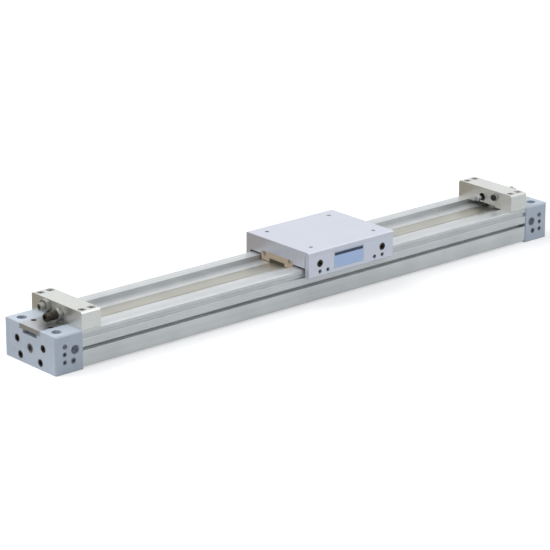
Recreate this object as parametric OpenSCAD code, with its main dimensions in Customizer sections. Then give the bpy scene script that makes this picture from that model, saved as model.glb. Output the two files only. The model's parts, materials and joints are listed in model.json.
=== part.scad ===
// Rodless air cylinder: a slotted tube with a slide table driven through the slot.
// X runs along the body, -Y is the front, Z = 0 is the underside of the head covers.

/* [Body tube] */
// Working stroke between the head covers
stroke = 400; // [150:50:900]
// Bore of the tube
bore_d = 25; // [24:0.5:27]
// Width of the tube
tube_w = 75; // [73:1:78]
// Wall under the bore
bottom_wall = 2; // [1.5:0.25:3]
// Thickness of the slotted lips over the bore
lip_t = 2.5; // [2.3:0.1:3.2]
// Height of the guide rails beside the top channel
rail_h = 4.5; // [4:0.25:5.5]
// Width of the top channel
channel_w = 48; // [47:0.5:50]
// Width of the slot through the lips
slot_w = 7; // [6:0.5:8]
// Height of the tube's underside above the feet of the covers
foot_gap = 2; // [1:0.25:3]
// Bevel along the tube's top edges
tube_bevel = 0.8; // [0.3:0.1:1.2]
// Depth of the guide groove in each flank
guide_groove_d = 1.6; // [1.2:0.1:2]
// Height of the mouth of the guide groove
guide_groove_h = 4.4; // [4:0.2:5]
// Distance from the tube's top down to the middle of the guide groove
guide_groove_drop = 6.2; // [5.8:0.1:6.8]
// Width of the slit of the switch groove
switch_slit = 3.4; // [3:0.1:3.8]
// Width of the pocket behind the slit
switch_pocket = 5.6; // [4.6:0.2:6]
// Depth of the switch groove
switch_depth = 5; // [4:0.25:5.5]
// Wall in front of the pocket of the switch groove
switch_lip = 1.4; // [1:0.1:2]
// Height of the switch groove above the bore's axis
switch_rise = 2.3; // [1:0.1:3]
// Diameter of the air passages beside the bore
passage_d = 6; // [4:0.5:7]

/* [Head covers] */
// Length of a head cover along the body
cover_len = 30; // [28:1:40]
// Distance a head cover stands out beyond each flank of the tube
cover_over = 0.5; // [0.25:0.25:2.5]
// Height of a cover's top above the tube's top
cover_rise = 0.4; // [0.2:0.1:1]
// Bevel on the covers' edges
cover_bevel = 1.2; // [0.5:0.1:2]
// Diameter of the tapped air ports
port_d = 8.6; // [7:0.2:9]
// Depth of the air ports
port_depth = 9; // [7:0.5:10]
// Height of the air ports above the bore's axis
port_rise = 4; // [2:0.5:5]
// Distance of the air ports from the cover's inner face
port_in = 8.5; // [7:0.5:9]
// Diameter of the hole through a cover for its mounting bolt
foot_hole_d = 5.5; // [4.5:0.1:6]
// Diameter of the counterbore over a mounting hole
foot_cbore_d = 9.5; // [8:0.1:10]
// Depth of the counterbore over a mounting hole
foot_cbore_depth = 5.4; // [4:0.2:8]
// Distance between the mounting holes across the body
foot_pitch_y = 52; // [50:1:54]
// Distance of the mounting holes from the cover's outer face
foot_in = 10.5; // [9:0.5:12]
// Diameter of the cushion boss that enters the piston
boss_d = 9; // [7:0.5:10]
// Length of the cushion boss inside the tube
boss_reach = 18; // [12:1:20]
// Diameter of the cushion needle
needle_d = 5; // [4:0.5:5]
// Length of the cushion needle
needle_len = 6; // [4:0.5:6.5]
// Width of the band clamp on top of a cover
clamp_w = 31; // [30:0.5:34]

/* [Bands] */
// Width of the dust band in the top channel
band_w = 18; // [16:0.5:18.5]
// Thickness of the dust band
band_t = 0.3; // [0.2:0.05:0.5]
// Width of the seal belt inside the bore
belt_w = 10; // [9:0.25:10.5]
// Thickness of the seal belt
belt_t = 1.1; // [0.9:0.05:1.2]

/* [Slide table] */
// Place of the table along the body, from the middle
table_pos = 35; // [-60:5:60]
// Length of the slide table
table_len = 110; // [108:1:130]
// Thickness of the table's side skirts
skirt_t = 5.6; // [5:0.2:8]
// Height of the table's top above the tube's top
table_rise = 18; // [15:0.5:24]
// Distance that the side skirts hang below the tube's top
skirt_drop = 8; // [7.4:0.2:9]
// Gap between tube flank and skirt, filled by the side bearings
side_gap = 1.9; // [1.6:0.1:2.4]
// Thickness of the top bearing pads
pad_t = 1.7; // [1.2:0.1:2.2]
// Bevel on the table's edges
table_bevel = 0.8; // [0.4:0.1:1.2]
// Diameter of the tapped holes in the table
table_hole_d = 4.2; // [3.3:0.1:5]
// Depth of the tapped holes in the table
table_hole_depth = 9; // [6:0.5:10]
// Distance between the tapped holes along the body
table_pitch_x = 80; // [70:1:90]
// Distance between the tapped holes across the body
table_pitch_y = 64; // [60:1:68]
// Height of the adjusting arm's top above the rail clearance
arm_rise = 12.7; // [12:0.1:13.2]
// Length of the name plate
plate_len = 38; // [30:1:41]
// Height of the name plate
plate_h = 16.5; // [12:0.5:17]
// Thickness of the end covers of the table
end_cover_t = 3; // [2:0.25:3.5]
// Gap between a roller and the end cover beside it
roller_gap = 3.5; // [2:0.25:4]

/* [Yoke and pistons] */
// Length of a piston beyond the yoke's bar
piston_len = 28; // [25:1:40]
// Length over which the dust band climbs to the yoke's flange
band_ramp = 13; // [12:0.5:14]
// Length over which the seal belt dips to the yoke's tunnel
belt_ramp = 16; // [15:0.5:18]
// Height of the belt's tunnel above the bore's axis
tunnel_rise = 6.4; // [6.2:0.1:6.8]
// Width of the yoke's flange under the table
flange_w = 40; // [38:0.5:42]
// Thickness of the yoke's flange
flange_t = 3.4; // [3:0.1:3.4]
// Radius of the rollers that press the dust band down
roller_r = 3; // [2.6:0.1:3.1]
// Diameter of the rollers' shafts
roller_shaft_d = 2.5; // [2:0.1:3]

/* [Stop units] */
// Length of a stop block along the body
block_len = 21; // [19:0.5:24]
// Height of a stop block above the tube
block_h = 17; // [16.5:0.25:18]
// Width of the passage under a stop block
block_gate_w = 30; // [26:1:34]
// Height of the passage under a stop block
block_gate_h = 1.5; // [1:0.1:1.7]
// Outer diameter of the shock absorber
absorber_d = 8; // [7:0.5:8.5]
// Length of the shock absorber's body
absorber_len = 34; // [32:1:36]
// Travel of the shock absorber's plunger
absorber_travel = 7; // [4:0.5:7]
// Offset of the shock absorber from the middle
absorber_y = 4; // [3:0.25:5]
// Height of the shock absorber above the tube
absorber_rise = 6.75; // [6.5:0.25:7.5]
// Diameter of the stroke adjusting bolt
bolt_d = 8; // [6:0.5:8]
// Offset of the adjusting bolt from the middle
bolt_y = -14; // [-15:0.25:-13]
// Height of the adjusting bolt above the tube
bolt_rise = 10.5; // [10:0.25:10.75]
// Distance the adjusting bolt stands out behind the block
bolt_tail = 9; // [7:0.5:12]

/* [Hidden] */
$fn = 48;

// Clearances
fit = 0.05;            // round part in its hole
slide_gap = 0.1;       // flat parts that slide or seat in a pocket
run_gap = 0.3;         // moving part beside a fixed one
eps = 0.01;            // overshoot of a cut

// Heights
bore_z = foot_gap + bottom_wall + bore_d / 2;
bore_top_z = bore_z + bore_d / 2;
channel_z = bore_top_z + lip_t;
tube_top_z = channel_z + rail_h;
guide_z = tube_top_z - guide_groove_drop;
cover_top_z = tube_top_z + cover_rise;
switch_z = bore_z + switch_rise;
port_z = bore_z + port_rise;

// Places along and across the body
end_gap = 5;
table_half = table_len / 2;
end_recess = table_half - end_cover_t;
roller_x = end_recess - roller_gap - roller_r;
band_flat = roller_x - band_ramp - 2.5;
flange_half = band_flat - 1;
neck_half = flange_half - 1;
belt_flat = flange_half + 1;
bar_half = belt_flat + belt_ramp + 1;
piston_reach = bar_half + piston_len;
tube_len = stroke + 2 * (piston_reach + end_gap);
tube_half = tube_len / 2;
end_x = tube_half + cover_len;
cover_y = tube_w / 2 + cover_over;
rail_y = (tube_w + channel_w) / 4;
passage_y = bore_d / 2 + 9.5;
upper_chamber_y = bore_d / 2 + 11;
lower_chamber_y = bore_d / 2 + 14.5;
chamber_wall = 1.5;
flank_wall = 2.5;

// Screw diameters, and their heads and sockets as shares of them
m3 = 3;
m4 = 4;
head_ratio = 1.75;
driver_room = 20;
socket_ratio = 0.75;

// Cover screws, as [y, z] from the bore's axis
cover_screw_spots = [[-19.5, 4.5], [19.5, 4.5], [-15, -10], [15, -10]];
cover_screw_len = cover_len - m4 + 8;
// Small plugs on a cover's front, as [distance from the outer face, height from the bore's axis, diameter]
front_plugs = [[19.5, -6, 6], [10, 1.8, 4.8], [10, -5.7, 4.8]];
plug_len = 4;
needle_in = 10.5;
needle_z = bore_z + 9;
chamber_len = 20;
boss_seat = 6;
boss_hole_d = 4;
gasket_d = bore_d + 2;
gasket_w = 2;
gasket_t = 1.2;
feed_d = 4.4;

// Band and belt seats
seat_w = belt_w + 1;
seat_top_z = bore_top_z + belt_t + slide_gap;
band_end = end_x - 6;
belt_end = end_x - 9;
mouth_w = band_w + 3;
mouth_start = tube_half + 10;
mouth_deep_start = end_x - 7;
mouth_drop = 1.2;
clamp_start = tube_half + 4;
clamp_screw_in = 14;
clamp_screw_x = end_x - clamp_screw_in;
clamp_screw_y = (clamp_w - 5.4) / 2;
clamp_screw_depth = 8;

// Yoke
bar_r = bore_d / 2 - 1.5;
tunnel_z = bore_z + tunnel_rise;
tunnel_clear = 0.2;
tunnel_h = belt_t + 4 * tunnel_clear;
tunnel_w = belt_w + 6 * tunnel_clear;
neck_w = slot_w - 2 * run_gap;
flange_z = channel_z + band_t + run_gap;
flange_top_z = flange_z + flange_t;
yoke_screw_in = 9;
yoke_screw_x = flange_half - yoke_screw_in;
yoke_screw_edge = 4.5;
yoke_screw_y = flange_w / 2 - yoke_screw_edge;
yoke_screw_depth = 6;
yoke_head_h = 1.6;
spigot_r = 6;
spigot_len = 8;

// Pistons, from the table's middle
piston_r = bore_d / 2 - run_gap;
wear_x = bar_half + 2;
wear_len = 5;
wear_depth = 1.3;
magnet_x = wear_x + wear_len + 3;
magnet_len = 4;
magnet_depth = 3;
seal_len = 3.5;
seal_depth = 2.8;
seal_x = piston_reach - 9;
cushion_len = 2.5;
cushion_x = piston_reach - cushion_len - 1;
socket_r = boss_d / 2 + 1.1;
cushion_groove_d = 2 * socket_r + 2.4;
piston_bevel = 0.8;

// Belt paths
belt_low_z = tunnel_z + tunnel_clear;
band_high_z = flange_top_z + run_gap;
ramp_steps = 12;

// Rollers
roller_z = channel_z + band_t + slide_gap + roller_r;
roller_half = band_w / 2;

// Table
table_top_z = tube_top_z + table_rise;
skirt_z = tube_top_z - skirt_drop;
skirt_y = tube_w / 2 + side_gap;
table_y = skirt_y + skirt_t;
rail_ceiling_z = tube_top_z + slide_gap + pad_t;
tunnel_y = band_w / 2 + 1.5;
band_ceiling_z = roller_z + roller_r + 3;
shoulder_y = channel_w / 2 - 1;
carrier_x = flange_half + 2;
arm_top_z = rail_ceiling_z + arm_rise;
arm_len = table_len - 2;
arm_screw_in = 15;
arm_screw_x = [arm_screw_in - table_half, table_half - arm_screw_in];
arm_screw_z = rail_ceiling_z + 3.2;
arm_screw_len = skirt_t + 2.4;
set_screw_in = 15;
set_screw_pitch = 10;
set_screw_out = table_half - set_screw_in;
set_screw_x = [-set_screw_out, set_screw_pitch - set_screw_out, set_screw_out - set_screw_pitch,
    set_screw_out];
set_screw_z = tube_top_z - 3;
pad_half = end_recess - 2;
side_pad_half = end_recess - 4;
plate_t = 0.3;
plate_x = -3.2;
plate_z = (skirt_z + arm_top_z) / 2 + 1;

// Stop units, on the right hand end
block_in_x = tube_half - block_len;
block_top_z = tube_top_z + block_h;
block_w = tube_w;
block_bevel = 1.5;
block_screw_x = [block_in_x + block_len / 4, block_in_x + block_len * 3 / 4];
block_screw_depth = 5.5;
absorber_z = tube_top_z + absorber_rise;
absorber_in_x = block_in_x + 3;
rod_d = 3;
rod_in = 18;
tip_d = 6;
tip_len = 3.5;
rod_out = absorber_travel + 0.5;
bolt_z = tube_top_z + bolt_rise;
bolt_in_x = block_in_x - 1;
bolt_out_x = tube_half + bolt_tail;
bumper_d = 6.4;
bumper_len = 2.2;
nut_t = 4.5;

alu = [0.82, 0.84, 0.87];
cast_alu = [0.76, 0.79, 0.83];
steel = [0.75, 0.76, 0.78];
black = [0.12, 0.12, 0.13];
resin = [0.2, 0.2, 0.22];
rubber = [0.08, 0.08, 0.09];
brass = [0.72, 0.6, 0.35];
plate_blue = [0.45, 0.6, 0.85];

// ---- helpers ----

// A profile drawn in Y and Z, extruded along X between two places
module along_x(x0, x1) {
    translate([x0, 0, 0]) rotate([90, 0, 90]) linear_extrude(height = x1 - x0) children();
}

// A rectangle in Y and Z, centred across the body
module strip(w, z0, z1) {
    translate([-w / 2, z0]) square([w, z1 - z0]);
}

// A round bar along X
module rod_x(d, x0, x1) {
    translate([x0, 0, 0]) rotate([0, 90, 0]) cylinder(d = d, h = x1 - x0);
}

// A round bar that goes in from a front face at Y = 0 towards +Y
module rod_y(d, len) {
    rotate([-90, 0, 0]) cylinder(d = d, h = len);
}

// A solid of revolution about X from [x, r] points
module turned_x(points) {
    rotate([0, 90, 0]) rotate([0, 0, 90]) rotate_extrude() polygon([for (p = points) [p[1], p[0]]]);
}

// A ring about X
module ring_x(d_in, d_out, x0, x1) {
    turned_x([[x0, d_in / 2], [x0, d_out / 2], [x1, d_out / 2], [x1, d_in / 2]]);
}

module on_bore() { translate([0, 0, bore_z]) children(); }
module on_table() { translate([table_pos, 0, 0]) children(); }
// The left cover mirrors the right one
module cover_side(side) { mirror([side < 0 ? 1 : 0, 0, 0]) children(); }
// The left stop unit is the right one turned round
module stop_side(side) { rotate([0, 0, side < 0 ? 180 : 0]) children(); }
module both_sides() { for (s = [-1, 1]) mirror([0, s < 0 ? 1 : 0, 0]) children(); }
module both_ends() { for (s = [-1, 1]) mirror([s < 0 ? 1 : 0, 0, 0]) children(); }

// Socket head cap screw, head top at the origin, shank down -Z
module cap_screw(d, len) {
    af = d * socket_ratio;
    difference() {
        union() {
            translate([0, 0, -d]) cylinder(d = d * head_ratio, h = d);
            translate([0, 0, -d - len]) cylinder(d = d, h = len + eps);
        }
        translate([0, 0, -d * 0.55]) cylinder(d = af / cos(30), h = d, $fn = 6);
    }
}

// Hole for that screw: counterbore, and a shank hole of the given length
module cap_hole(d, len) {
    translate([0, 0, -d]) cylinder(d = d * head_ratio + 4 * slide_gap, h = d + driver_room);
    translate([0, 0, -d - len]) cylinder(d = d + 2 * fit, h = len + eps);
}

// Round plug with a hex socket, outer face at Y = 0, going in towards +Y
module hex_plug(d) {
    difference() {
        translate([0, slide_gap, 0]) rod_y(d - 2 * fit, plug_len - slide_gap);
        rotate([-90, 0, 0]) translate([0, 0, -eps]) cylinder(d = d * 0.55 / cos(30), h = 2.2, $fn = 6);
    }
}

// ---- tube ----

module guide_groove_2d(grow) {
    mouth = guide_groove_h / 2 + grow;
    depth = guide_groove_d + grow;
    y = tube_w / 2;
    floor_half = mouth - depth * 0.7;
    polygon([[y + 1, guide_z - mouth - 1], [y, guide_z - mouth], [y - depth, guide_z - floor_half],
        [y - depth, guide_z + floor_half], [y, guide_z + mouth], [y + 1, guide_z + mouth + 1]]);
}

module tube_half_cuts_2d() {
    y = tube_w / 2;
    // switch groove with its wider pocket
    translate([y - switch_depth, switch_z - switch_slit / 2]) square([switch_depth + 1, switch_slit]);
    translate([y - switch_depth, switch_z - switch_pocket / 2]) square([switch_depth - switch_lip,
        switch_pocket]);
    guide_groove_2d(0);
    // air passage and lightening chambers
    translate([passage_y, bore_z - 7]) circle(d = passage_d);
    translate([upper_chamber_y, bore_z + 5.5])
        square([y - switch_depth - chamber_wall - upper_chamber_y, 5]);
    translate([lower_chamber_y, bore_z - 11]) square([y - flank_wall - lower_chamber_y, 7]);
    // bevel along the outer top edge
    polygon([[y - tube_bevel, tube_top_z + 1], [y - tube_bevel, tube_top_z],
        [y, tube_top_z - tube_bevel], [y + 1, tube_top_z - tube_bevel], [y + 1, tube_top_z + 1]]);
}

module tube_profile_2d() {
    difference() {
        strip(tube_w, foot_gap, tube_top_z);
        strip(channel_w, channel_z, tube_top_z + 1);
        translate([0, bore_z]) circle(d = bore_d);
        strip(seat_w, bore_z, seat_top_z);
        strip(slot_w, bore_z, channel_z + 1);
        for (s = [0, 1]) mirror([s, 0]) tube_half_cuts_2d();
    }
}

module tube() {
    color(alu) difference() {
        along_x(-tube_half, tube_half) tube_profile_2d();
        both_ends() for (p = cover_screw_spots)
            translate([0, p[0], bore_z + p[1]]) rod_x(m4 + 2 * fit, tube_half - 9, tube_half + 1);
        both_ends() both_sides() for (x = block_screw_x)
            translate([x, rail_y, tube_top_z - block_screw_depth]) cylinder(d = m4 + 2 * fit,
                h = block_screw_depth + 1);
    }
}

// ---- head covers, drawn at the right hand end ----

module cover_blank() {
    b = cover_bevel;
    intersection() {
        along_x(tube_half, end_x) polygon([[-cover_y, 0], [cover_y, 0], [cover_y, cover_top_z - b],
            [cover_y - b, cover_top_z], [b - cover_y, cover_top_z], [-cover_y, cover_top_z - b]]);
        linear_extrude(height = cover_top_z) polygon([[tube_half, -cover_y], [end_x - b, -cover_y],
            [end_x, b - cover_y], [end_x, cover_y - b], [end_x - b, cover_y], [tube_half, cover_y]]);
    }
}

// Open ring round the bore; clear widens it on both sides for the groove that holds it
module gasket_ring(t, clear) {
    difference() {
        on_bore() ring_x(gasket_d - 2 * clear, gasket_d + 2 * gasket_w + 2 * clear, tube_half,
            tube_half + t);
        along_x(tube_half - 1, tube_half + t + 1) strip(seat_w + 3 - 2 * clear, bore_z, cover_top_z);
    }
}

module cover_cuts() {
    // seats of the band, the belt and their clamp
    along_x(tube_half - 1, end_x + 1) strip(clamp_w, channel_z, cover_top_z + 1);
    along_x(tube_half - 1, mouth_start + 1) strip(seat_w, bore_top_z - slide_gap, channel_z - 1.3);
    along_x(mouth_start, end_x + 1) strip(mouth_w, bore_top_z - slide_gap, channel_z + 1);
    along_x(mouth_deep_start, end_x + 1) strip(mouth_w, bore_top_z - mouth_drop, channel_z + 1);
    both_sides() translate([clamp_screw_x, clamp_screw_y, channel_z - clamp_screw_depth])
        cylinder(d = m3 + 2 * fit, h = clamp_screw_depth + 1);
    // gasket groove, pressure chamber and end port
    gasket_ring(gasket_t, slide_gap);
    on_bore() rod_x(boss_d, tube_half - 1, tube_half + chamber_len);
    on_bore() rod_x(port_d, tube_half + chamber_len, end_x + 1);
    // side ports and their feed
    both_sides() translate([tube_half + port_in, -cover_y - 1, port_z]) rod_y(port_d, port_depth + 1);
    both_sides() translate([tube_half + port_in, -cover_y + port_depth - 1, port_z]) rod_y(feed_d,
        cover_y - port_depth + 1);
    // mounting holes
    both_sides() translate([end_x - foot_in, foot_pitch_y / 2, 0]) {
        translate([0, 0, -1]) cylinder(d = foot_hole_d, h = cover_top_z + 2);
        translate([0, 0, cover_top_z - foot_cbore_depth]) cylinder(d = foot_cbore_d,
            h = foot_cbore_depth + 1);
    }
    for (p = cover_screw_spots) translate([end_x, p[0], bore_z + p[1]]) rotate([0, 90, 0])
        cap_hole(m4, cover_len);
    // needle and small plugs on the front
    translate([end_x - needle_in, -cover_y - 1, needle_z]) rod_y(needle_d + 2 * fit,
        needle_len + 1 + slide_gap);
    for (p = front_plugs) translate([end_x - p[0], -cover_y - 1, bore_z + p[1]]) rod_y(p[2],
        plug_len + 1);
}

module head_cover(side) {
    color(cast_alu) cover_side(side) difference() { cover_blank(); cover_cuts(); }
}

module cover_gaskets() { color(rubber) both_ends() gasket_ring(gasket_t - slide_gap, 0); }

module cushion_bosses() {
    r = boss_d / 2 - fit;
    color(alu) both_ends() on_bore() difference() {
        turned_x([[tube_half - boss_reach, 0], [tube_half - boss_reach, r - 1.2],
            [tube_half - boss_reach + 4, r],
            [tube_half + boss_seat, r], [tube_half + boss_seat, 0]]);
        rod_x(boss_hole_d, tube_half - boss_reach - 1, tube_half + boss_seat + 1);
    }
}

module cushion_needle(side) {
    color(brass) cover_side(side) translate([end_x - needle_in, -cover_y, needle_z]) difference() {
        rod_y(needle_d, needle_len);
        translate([-needle_d, -eps, -0.5]) cube([2 * needle_d, 1.2, 1]);
    }
}

module cover_screws() {
    color(steel) both_ends() for (p = cover_screw_spots)
        translate([end_x, p[0], bore_z + p[1]]) rotate([0, 90, 0]) cap_screw(m4, cover_screw_len);
}

module port_plugs() {
    color(steel) both_ends() {
        for (p = front_plugs) translate([end_x - p[0], -cover_y, bore_z + p[1]]) hex_plug(p[2]);
        translate([tube_half + port_in, cover_y, port_z]) rotate([0, 0, 180]) hex_plug(port_d);
        translate([end_x, 0, bore_z]) rotate([0, 0, 90]) hex_plug(port_d);
    }
}

// ---- dust band and seal belt ----

function ease(t) = (1 - cos(180 * t)) / 2;
// Height offset of a band at u from the table's middle: lifted by rise, back to 0 past the ramp
function lift(u, flat, ramp, rise) =
    abs(u) <= flat ? rise : abs(u) >= flat + ramp ? 0 : rise * (1 - ease((abs(u) - flat) / ramp));
function path_stations(flat, ramp) = concat(
    [for (i = [ramp_steps:-1:0]) -flat - ramp * i / ramp_steps],
    [for (i = [0:ramp_steps]) flat + ramp * i / ramp_steps]);

// A band that lies at height z and rises over the table's inner parts
module lifted_band(w, t, z, half_len, flat, ramp, rise) {
    us = path_stations(flat, ramp);
    low = concat([[-half_len, z]], [for (u = us) [table_pos + u, z + lift(u, flat, ramp, rise)]],
        [[half_len, z]]);
    n = len(low) - 1;
    high = [for (i = [n:-1:0]) low[i] + [0, t]];
    translate([0, w / 2, 0]) rotate([90, 0, 0]) linear_extrude(height = w) polygon(concat(low, high));
}

module dust_band() {
    color(steel) lifted_band(band_w, band_t, channel_z, band_end, band_flat, band_ramp,
        band_high_z - channel_z);
}

module seal_belt() {
    color(black) lifted_band(belt_w, belt_t, bore_top_z, belt_end, belt_flat, belt_ramp,
        belt_low_z - bore_top_z);
}

module band_clamps() {
    color(alu) both_ends() difference() {
        along_x(clamp_start, end_x) strip(clamp_w - 2 * slide_gap, channel_z, cover_top_z);
        along_x(clamp_start - 1, end_x + 1) strip(band_w + 2 * slide_gap, channel_z - 1,
            channel_z + band_t);
        both_sides() translate([clamp_screw_x, clamp_screw_y, cover_top_z]) cap_hole(m3,
            cover_top_z - channel_z);
    }
}

module band_wedges() {
    color(resin) both_ends() difference() {
        along_x(mouth_start + 1, mouth_deep_start) strip(mouth_w - 2 * slide_gap, bore_top_z,
            channel_z);
        along_x(mouth_start, end_x) strip(belt_w + 4 * slide_gap, bore_top_z - 1, bore_top_z + belt_t);
    }
}

module clamp_screws() {
    color(steel) both_ends() both_sides()
        translate([clamp_screw_x, clamp_screw_y, cover_top_z])
            cap_screw(m3, cover_top_z - m3 - channel_z + clamp_screw_depth - 0.5);
}

// ---- stop units, drawn at the right hand end ----

module stop_block(side) {
    b = block_bevel;
    y = block_w / 2;
    color(alu) stop_side(side) difference() {
        along_x(block_in_x, tube_half) polygon([[-y, tube_top_z], [y, tube_top_z], [y, block_top_z - b],
            [y - b, block_top_z], [b - y, block_top_z], [-y, block_top_z - b]]);
        along_x(block_in_x - 1, tube_half + 1) strip(block_gate_w, tube_top_z - 1,
            tube_top_z + block_gate_h);
        translate([0, absorber_y, absorber_z]) rod_x(absorber_d + 2 * fit, block_in_x - 1,
            tube_half + 1);
        translate([0, bolt_y, bolt_z]) rod_x(bolt_d + 2 * fit, block_in_x - 1, tube_half + 1);
        both_sides() for (x = block_screw_x) translate([x, rail_y, block_top_z]) cap_hole(m4, block_h);
    }
}

module block_screws() {
    color(steel) both_ends() both_sides() for (x = block_screw_x)
        translate([x, rail_y, block_top_z]) cap_screw(m4, block_h - m4 + block_screw_depth - 0.5);
}

module shock_absorber(side) {
    r = absorber_d / 2;
    x0 = absorber_in_x;
    x1 = absorber_in_x + absorber_len;
    color(black) stop_side(side) translate([0, absorber_y, absorber_z]) difference() {
        turned_x([[x0, 0], [x0, r - 1.4], [x0 + 2, r - 1.4], [x0 + 2.4, r], [x1 - 0.6, r],
            [x1, r - 0.6], [x1, 0]]);
        rod_x(rod_d + 2 * fit, x0 - 1, x0 + rod_in + absorber_travel + 1);
        rod_x(r, x1 - 2, x1 + 1);
    }
}

module absorber_plunger(side) {
    x0 = absorber_in_x - rod_out - tip_len;
    color(steel) stop_side(side) translate([0, absorber_y, absorber_z]) turned_x([[x0, 0],
        [x0, tip_d / 2 - 0.6], [x0 + 0.6, tip_d / 2], [x0 + tip_len, tip_d / 2],
        [x0 + tip_len, rod_d / 2], [absorber_in_x + rod_in, rod_d / 2], [absorber_in_x + rod_in, 0]]);
}

// Hex nut against the back of a stop block
module block_nut(d, across) {
    difference() {
        translate([tube_half, 0, 0]) rotate([0, 90, 0]) rotate(30)
            cylinder(d = across / cos(30), h = nut_t, $fn = 6);
        rod_x(d + 2 * fit, tube_half - 1, tube_half + nut_t + 1);
    }
}

module absorber_nuts() {
    color(steel) for (s = [-1, 1]) stop_side(s)
        translate([0, absorber_y, absorber_z]) block_nut(absorber_d, absorber_d + 4);
}

module bolt_nuts() {
    color(steel) for (s = [-1, 1]) stop_side(s)
        translate([0, bolt_y, bolt_z]) block_nut(bolt_d, bolt_d + 4);
}

module adjusting_bolt(side) {
    r = bolt_d / 2;
    color(steel) stop_side(side) translate([0, bolt_y, bolt_z]) difference() {
        turned_x([[bolt_in_x, 0], [bolt_in_x, r - 0.5], [bolt_in_x + 0.5, r], [bolt_out_x - 0.8, r],
            [bolt_out_x, r - 0.8], [bolt_out_x, 0]]);
        translate([bolt_out_x - 3, 0, 0]) rotate([0, 90, 0]) cylinder(d = r / cos(30), h = 4, $fn = 6);
        rod_x(2.4 + 2 * fit, bolt_in_x - 1, bolt_in_x + 4);
    }
}

module bolt_bumper(side) {
    color(resin) stop_side(side) translate([0, bolt_y, bolt_z]) turned_x([[bolt_in_x - bumper_len, 0],
        [bolt_in_x - bumper_len, bumper_d / 2 - 0.4], [bolt_in_x - bumper_len + 0.4, bumper_d / 2],
        [bolt_in_x, bumper_d / 2], [bolt_in_x, 1.2], [bolt_in_x + 3.8, 1.2], [bolt_in_x + 3.8, 0]]);
}

// ---- slide table ----

module table_blank_2d() {
    b = table_bevel;
    polygon([[-table_y, skirt_z], [table_y, skirt_z], [table_y, table_top_z - b],
        [table_y - b, table_top_z], [b - table_y, table_top_z], [-table_y, table_top_z - b]]);
}

module table() {
    low = skirt_z - 1;
    color(alu) on_table() difference() {
        along_x(-table_half, table_half) table_blank_2d();
        // room for the rails and the bearings
        both_sides() along_x(-table_half - 1, table_half + 1)
            translate([shoulder_y, low]) square([skirt_y - shoulder_y, rail_ceiling_z - low]);
        // room for the band, the yoke's flange and the end covers
        along_x(-table_half - 1, table_half + 1) strip(2 * tunnel_y, low, band_ceiling_z);
        along_x(-table_half - 1, table_half + 1) strip(2 * shoulder_y + 1, low,
            channel_z + 2 * run_gap);
        along_x(-carrier_x, carrier_x) strip(2 * shoulder_y + 1, low, flange_top_z);
        both_ends() along_x(end_recess, table_half + 1) strip(2 * shoulder_y + 2 * slide_gap, low,
            band_ceiling_z + slide_gap);
        // seat of the adjusting arm on the front
        translate([-table_half - 1, -table_y - 1, low]) cube([table_len + 2, table_y + 1 - skirt_y,
            arm_top_z - low]);
        for (x = arm_screw_x) translate([x, -skirt_y - 1, arm_screw_z]) rod_y(m4 + 2 * fit,
            arm_screw_len);
        both_ends() translate([roller_x, -shoulder_y - 1, roller_z]) rod_y(roller_shaft_d,
            2 * shoulder_y + 2);
        for (x = [-yoke_screw_x, yoke_screw_x], y = [-yoke_screw_y, yoke_screw_y])
            translate([x, y, flange_top_z - 1]) cylinder(d = m4 + 2 * fit, h = yoke_screw_depth + 2);
        for (x = [-table_pitch_x / 2, table_pitch_x / 2], y = [-table_pitch_y / 2, table_pitch_y / 2])
            translate([x, y, table_top_z - table_hole_depth]) cylinder(d = table_hole_d,
                h = table_hole_depth + 1);
        both_ends() both_sides() translate([0, shoulder_y - 5, band_ceiling_z - 2])
            rod_x(2 + 2 * fit, end_recess - 6, table_half);
    }
}

module end_cover(side) {
    color(resin) on_table() cover_side(side) difference() {
        along_x(end_recess, table_half) strip(2 * shoulder_y, channel_z + band_t + run_gap,
            band_ceiling_z);
        both_sides() translate([0, shoulder_y - 5, band_ceiling_z - 2]) {
            rod_x(2 + 2 * fit, end_recess - 1, table_half + 1);
            rod_x(4.2, table_half - 1.4, table_half + 1);
        }
        // seat of the scraper
        along_x(table_half - 1.5, table_half + 1) strip(band_w + 4, 0, channel_z + 4);
    }
}

module scrapers() {
    color(rubber) on_table() both_ends()
        along_x(table_half - 1.5, table_half - 0.3) strip(band_w + 3.6,
            channel_z + band_t + slide_gap, channel_z + 4);
}

module end_cover_screws() {
    color(steel) on_table() both_ends() both_sides()
        translate([0, shoulder_y - 5, band_ceiling_z - 2]) {
        rod_x(2, end_recess - 5, table_half - 1.4);
        rod_x(4, table_half - 1.4, table_half - 0.2);
    }
}

module top_bearings() {
    color(resin) on_table() both_sides() along_x(-pad_half, pad_half)
        translate([channel_w / 2 + 1, tube_top_z + slide_gap])
            square([tube_w / 2 - channel_w / 2 - 2, pad_t]);
}

module side_bearings() {
    color(resin) on_table() both_sides() along_x(-side_pad_half, side_pad_half) {
        translate([tube_w / 2 + slide_gap, skirt_z + 0.4]) square([side_gap - slide_gap,
            skirt_drop - 0.8]);
        intersection() {
            guide_groove_2d(-0.2);
            translate([0, skirt_z]) square([tube_w / 2 + slide_gap + eps, skirt_drop]);
        }
    }
}

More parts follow.
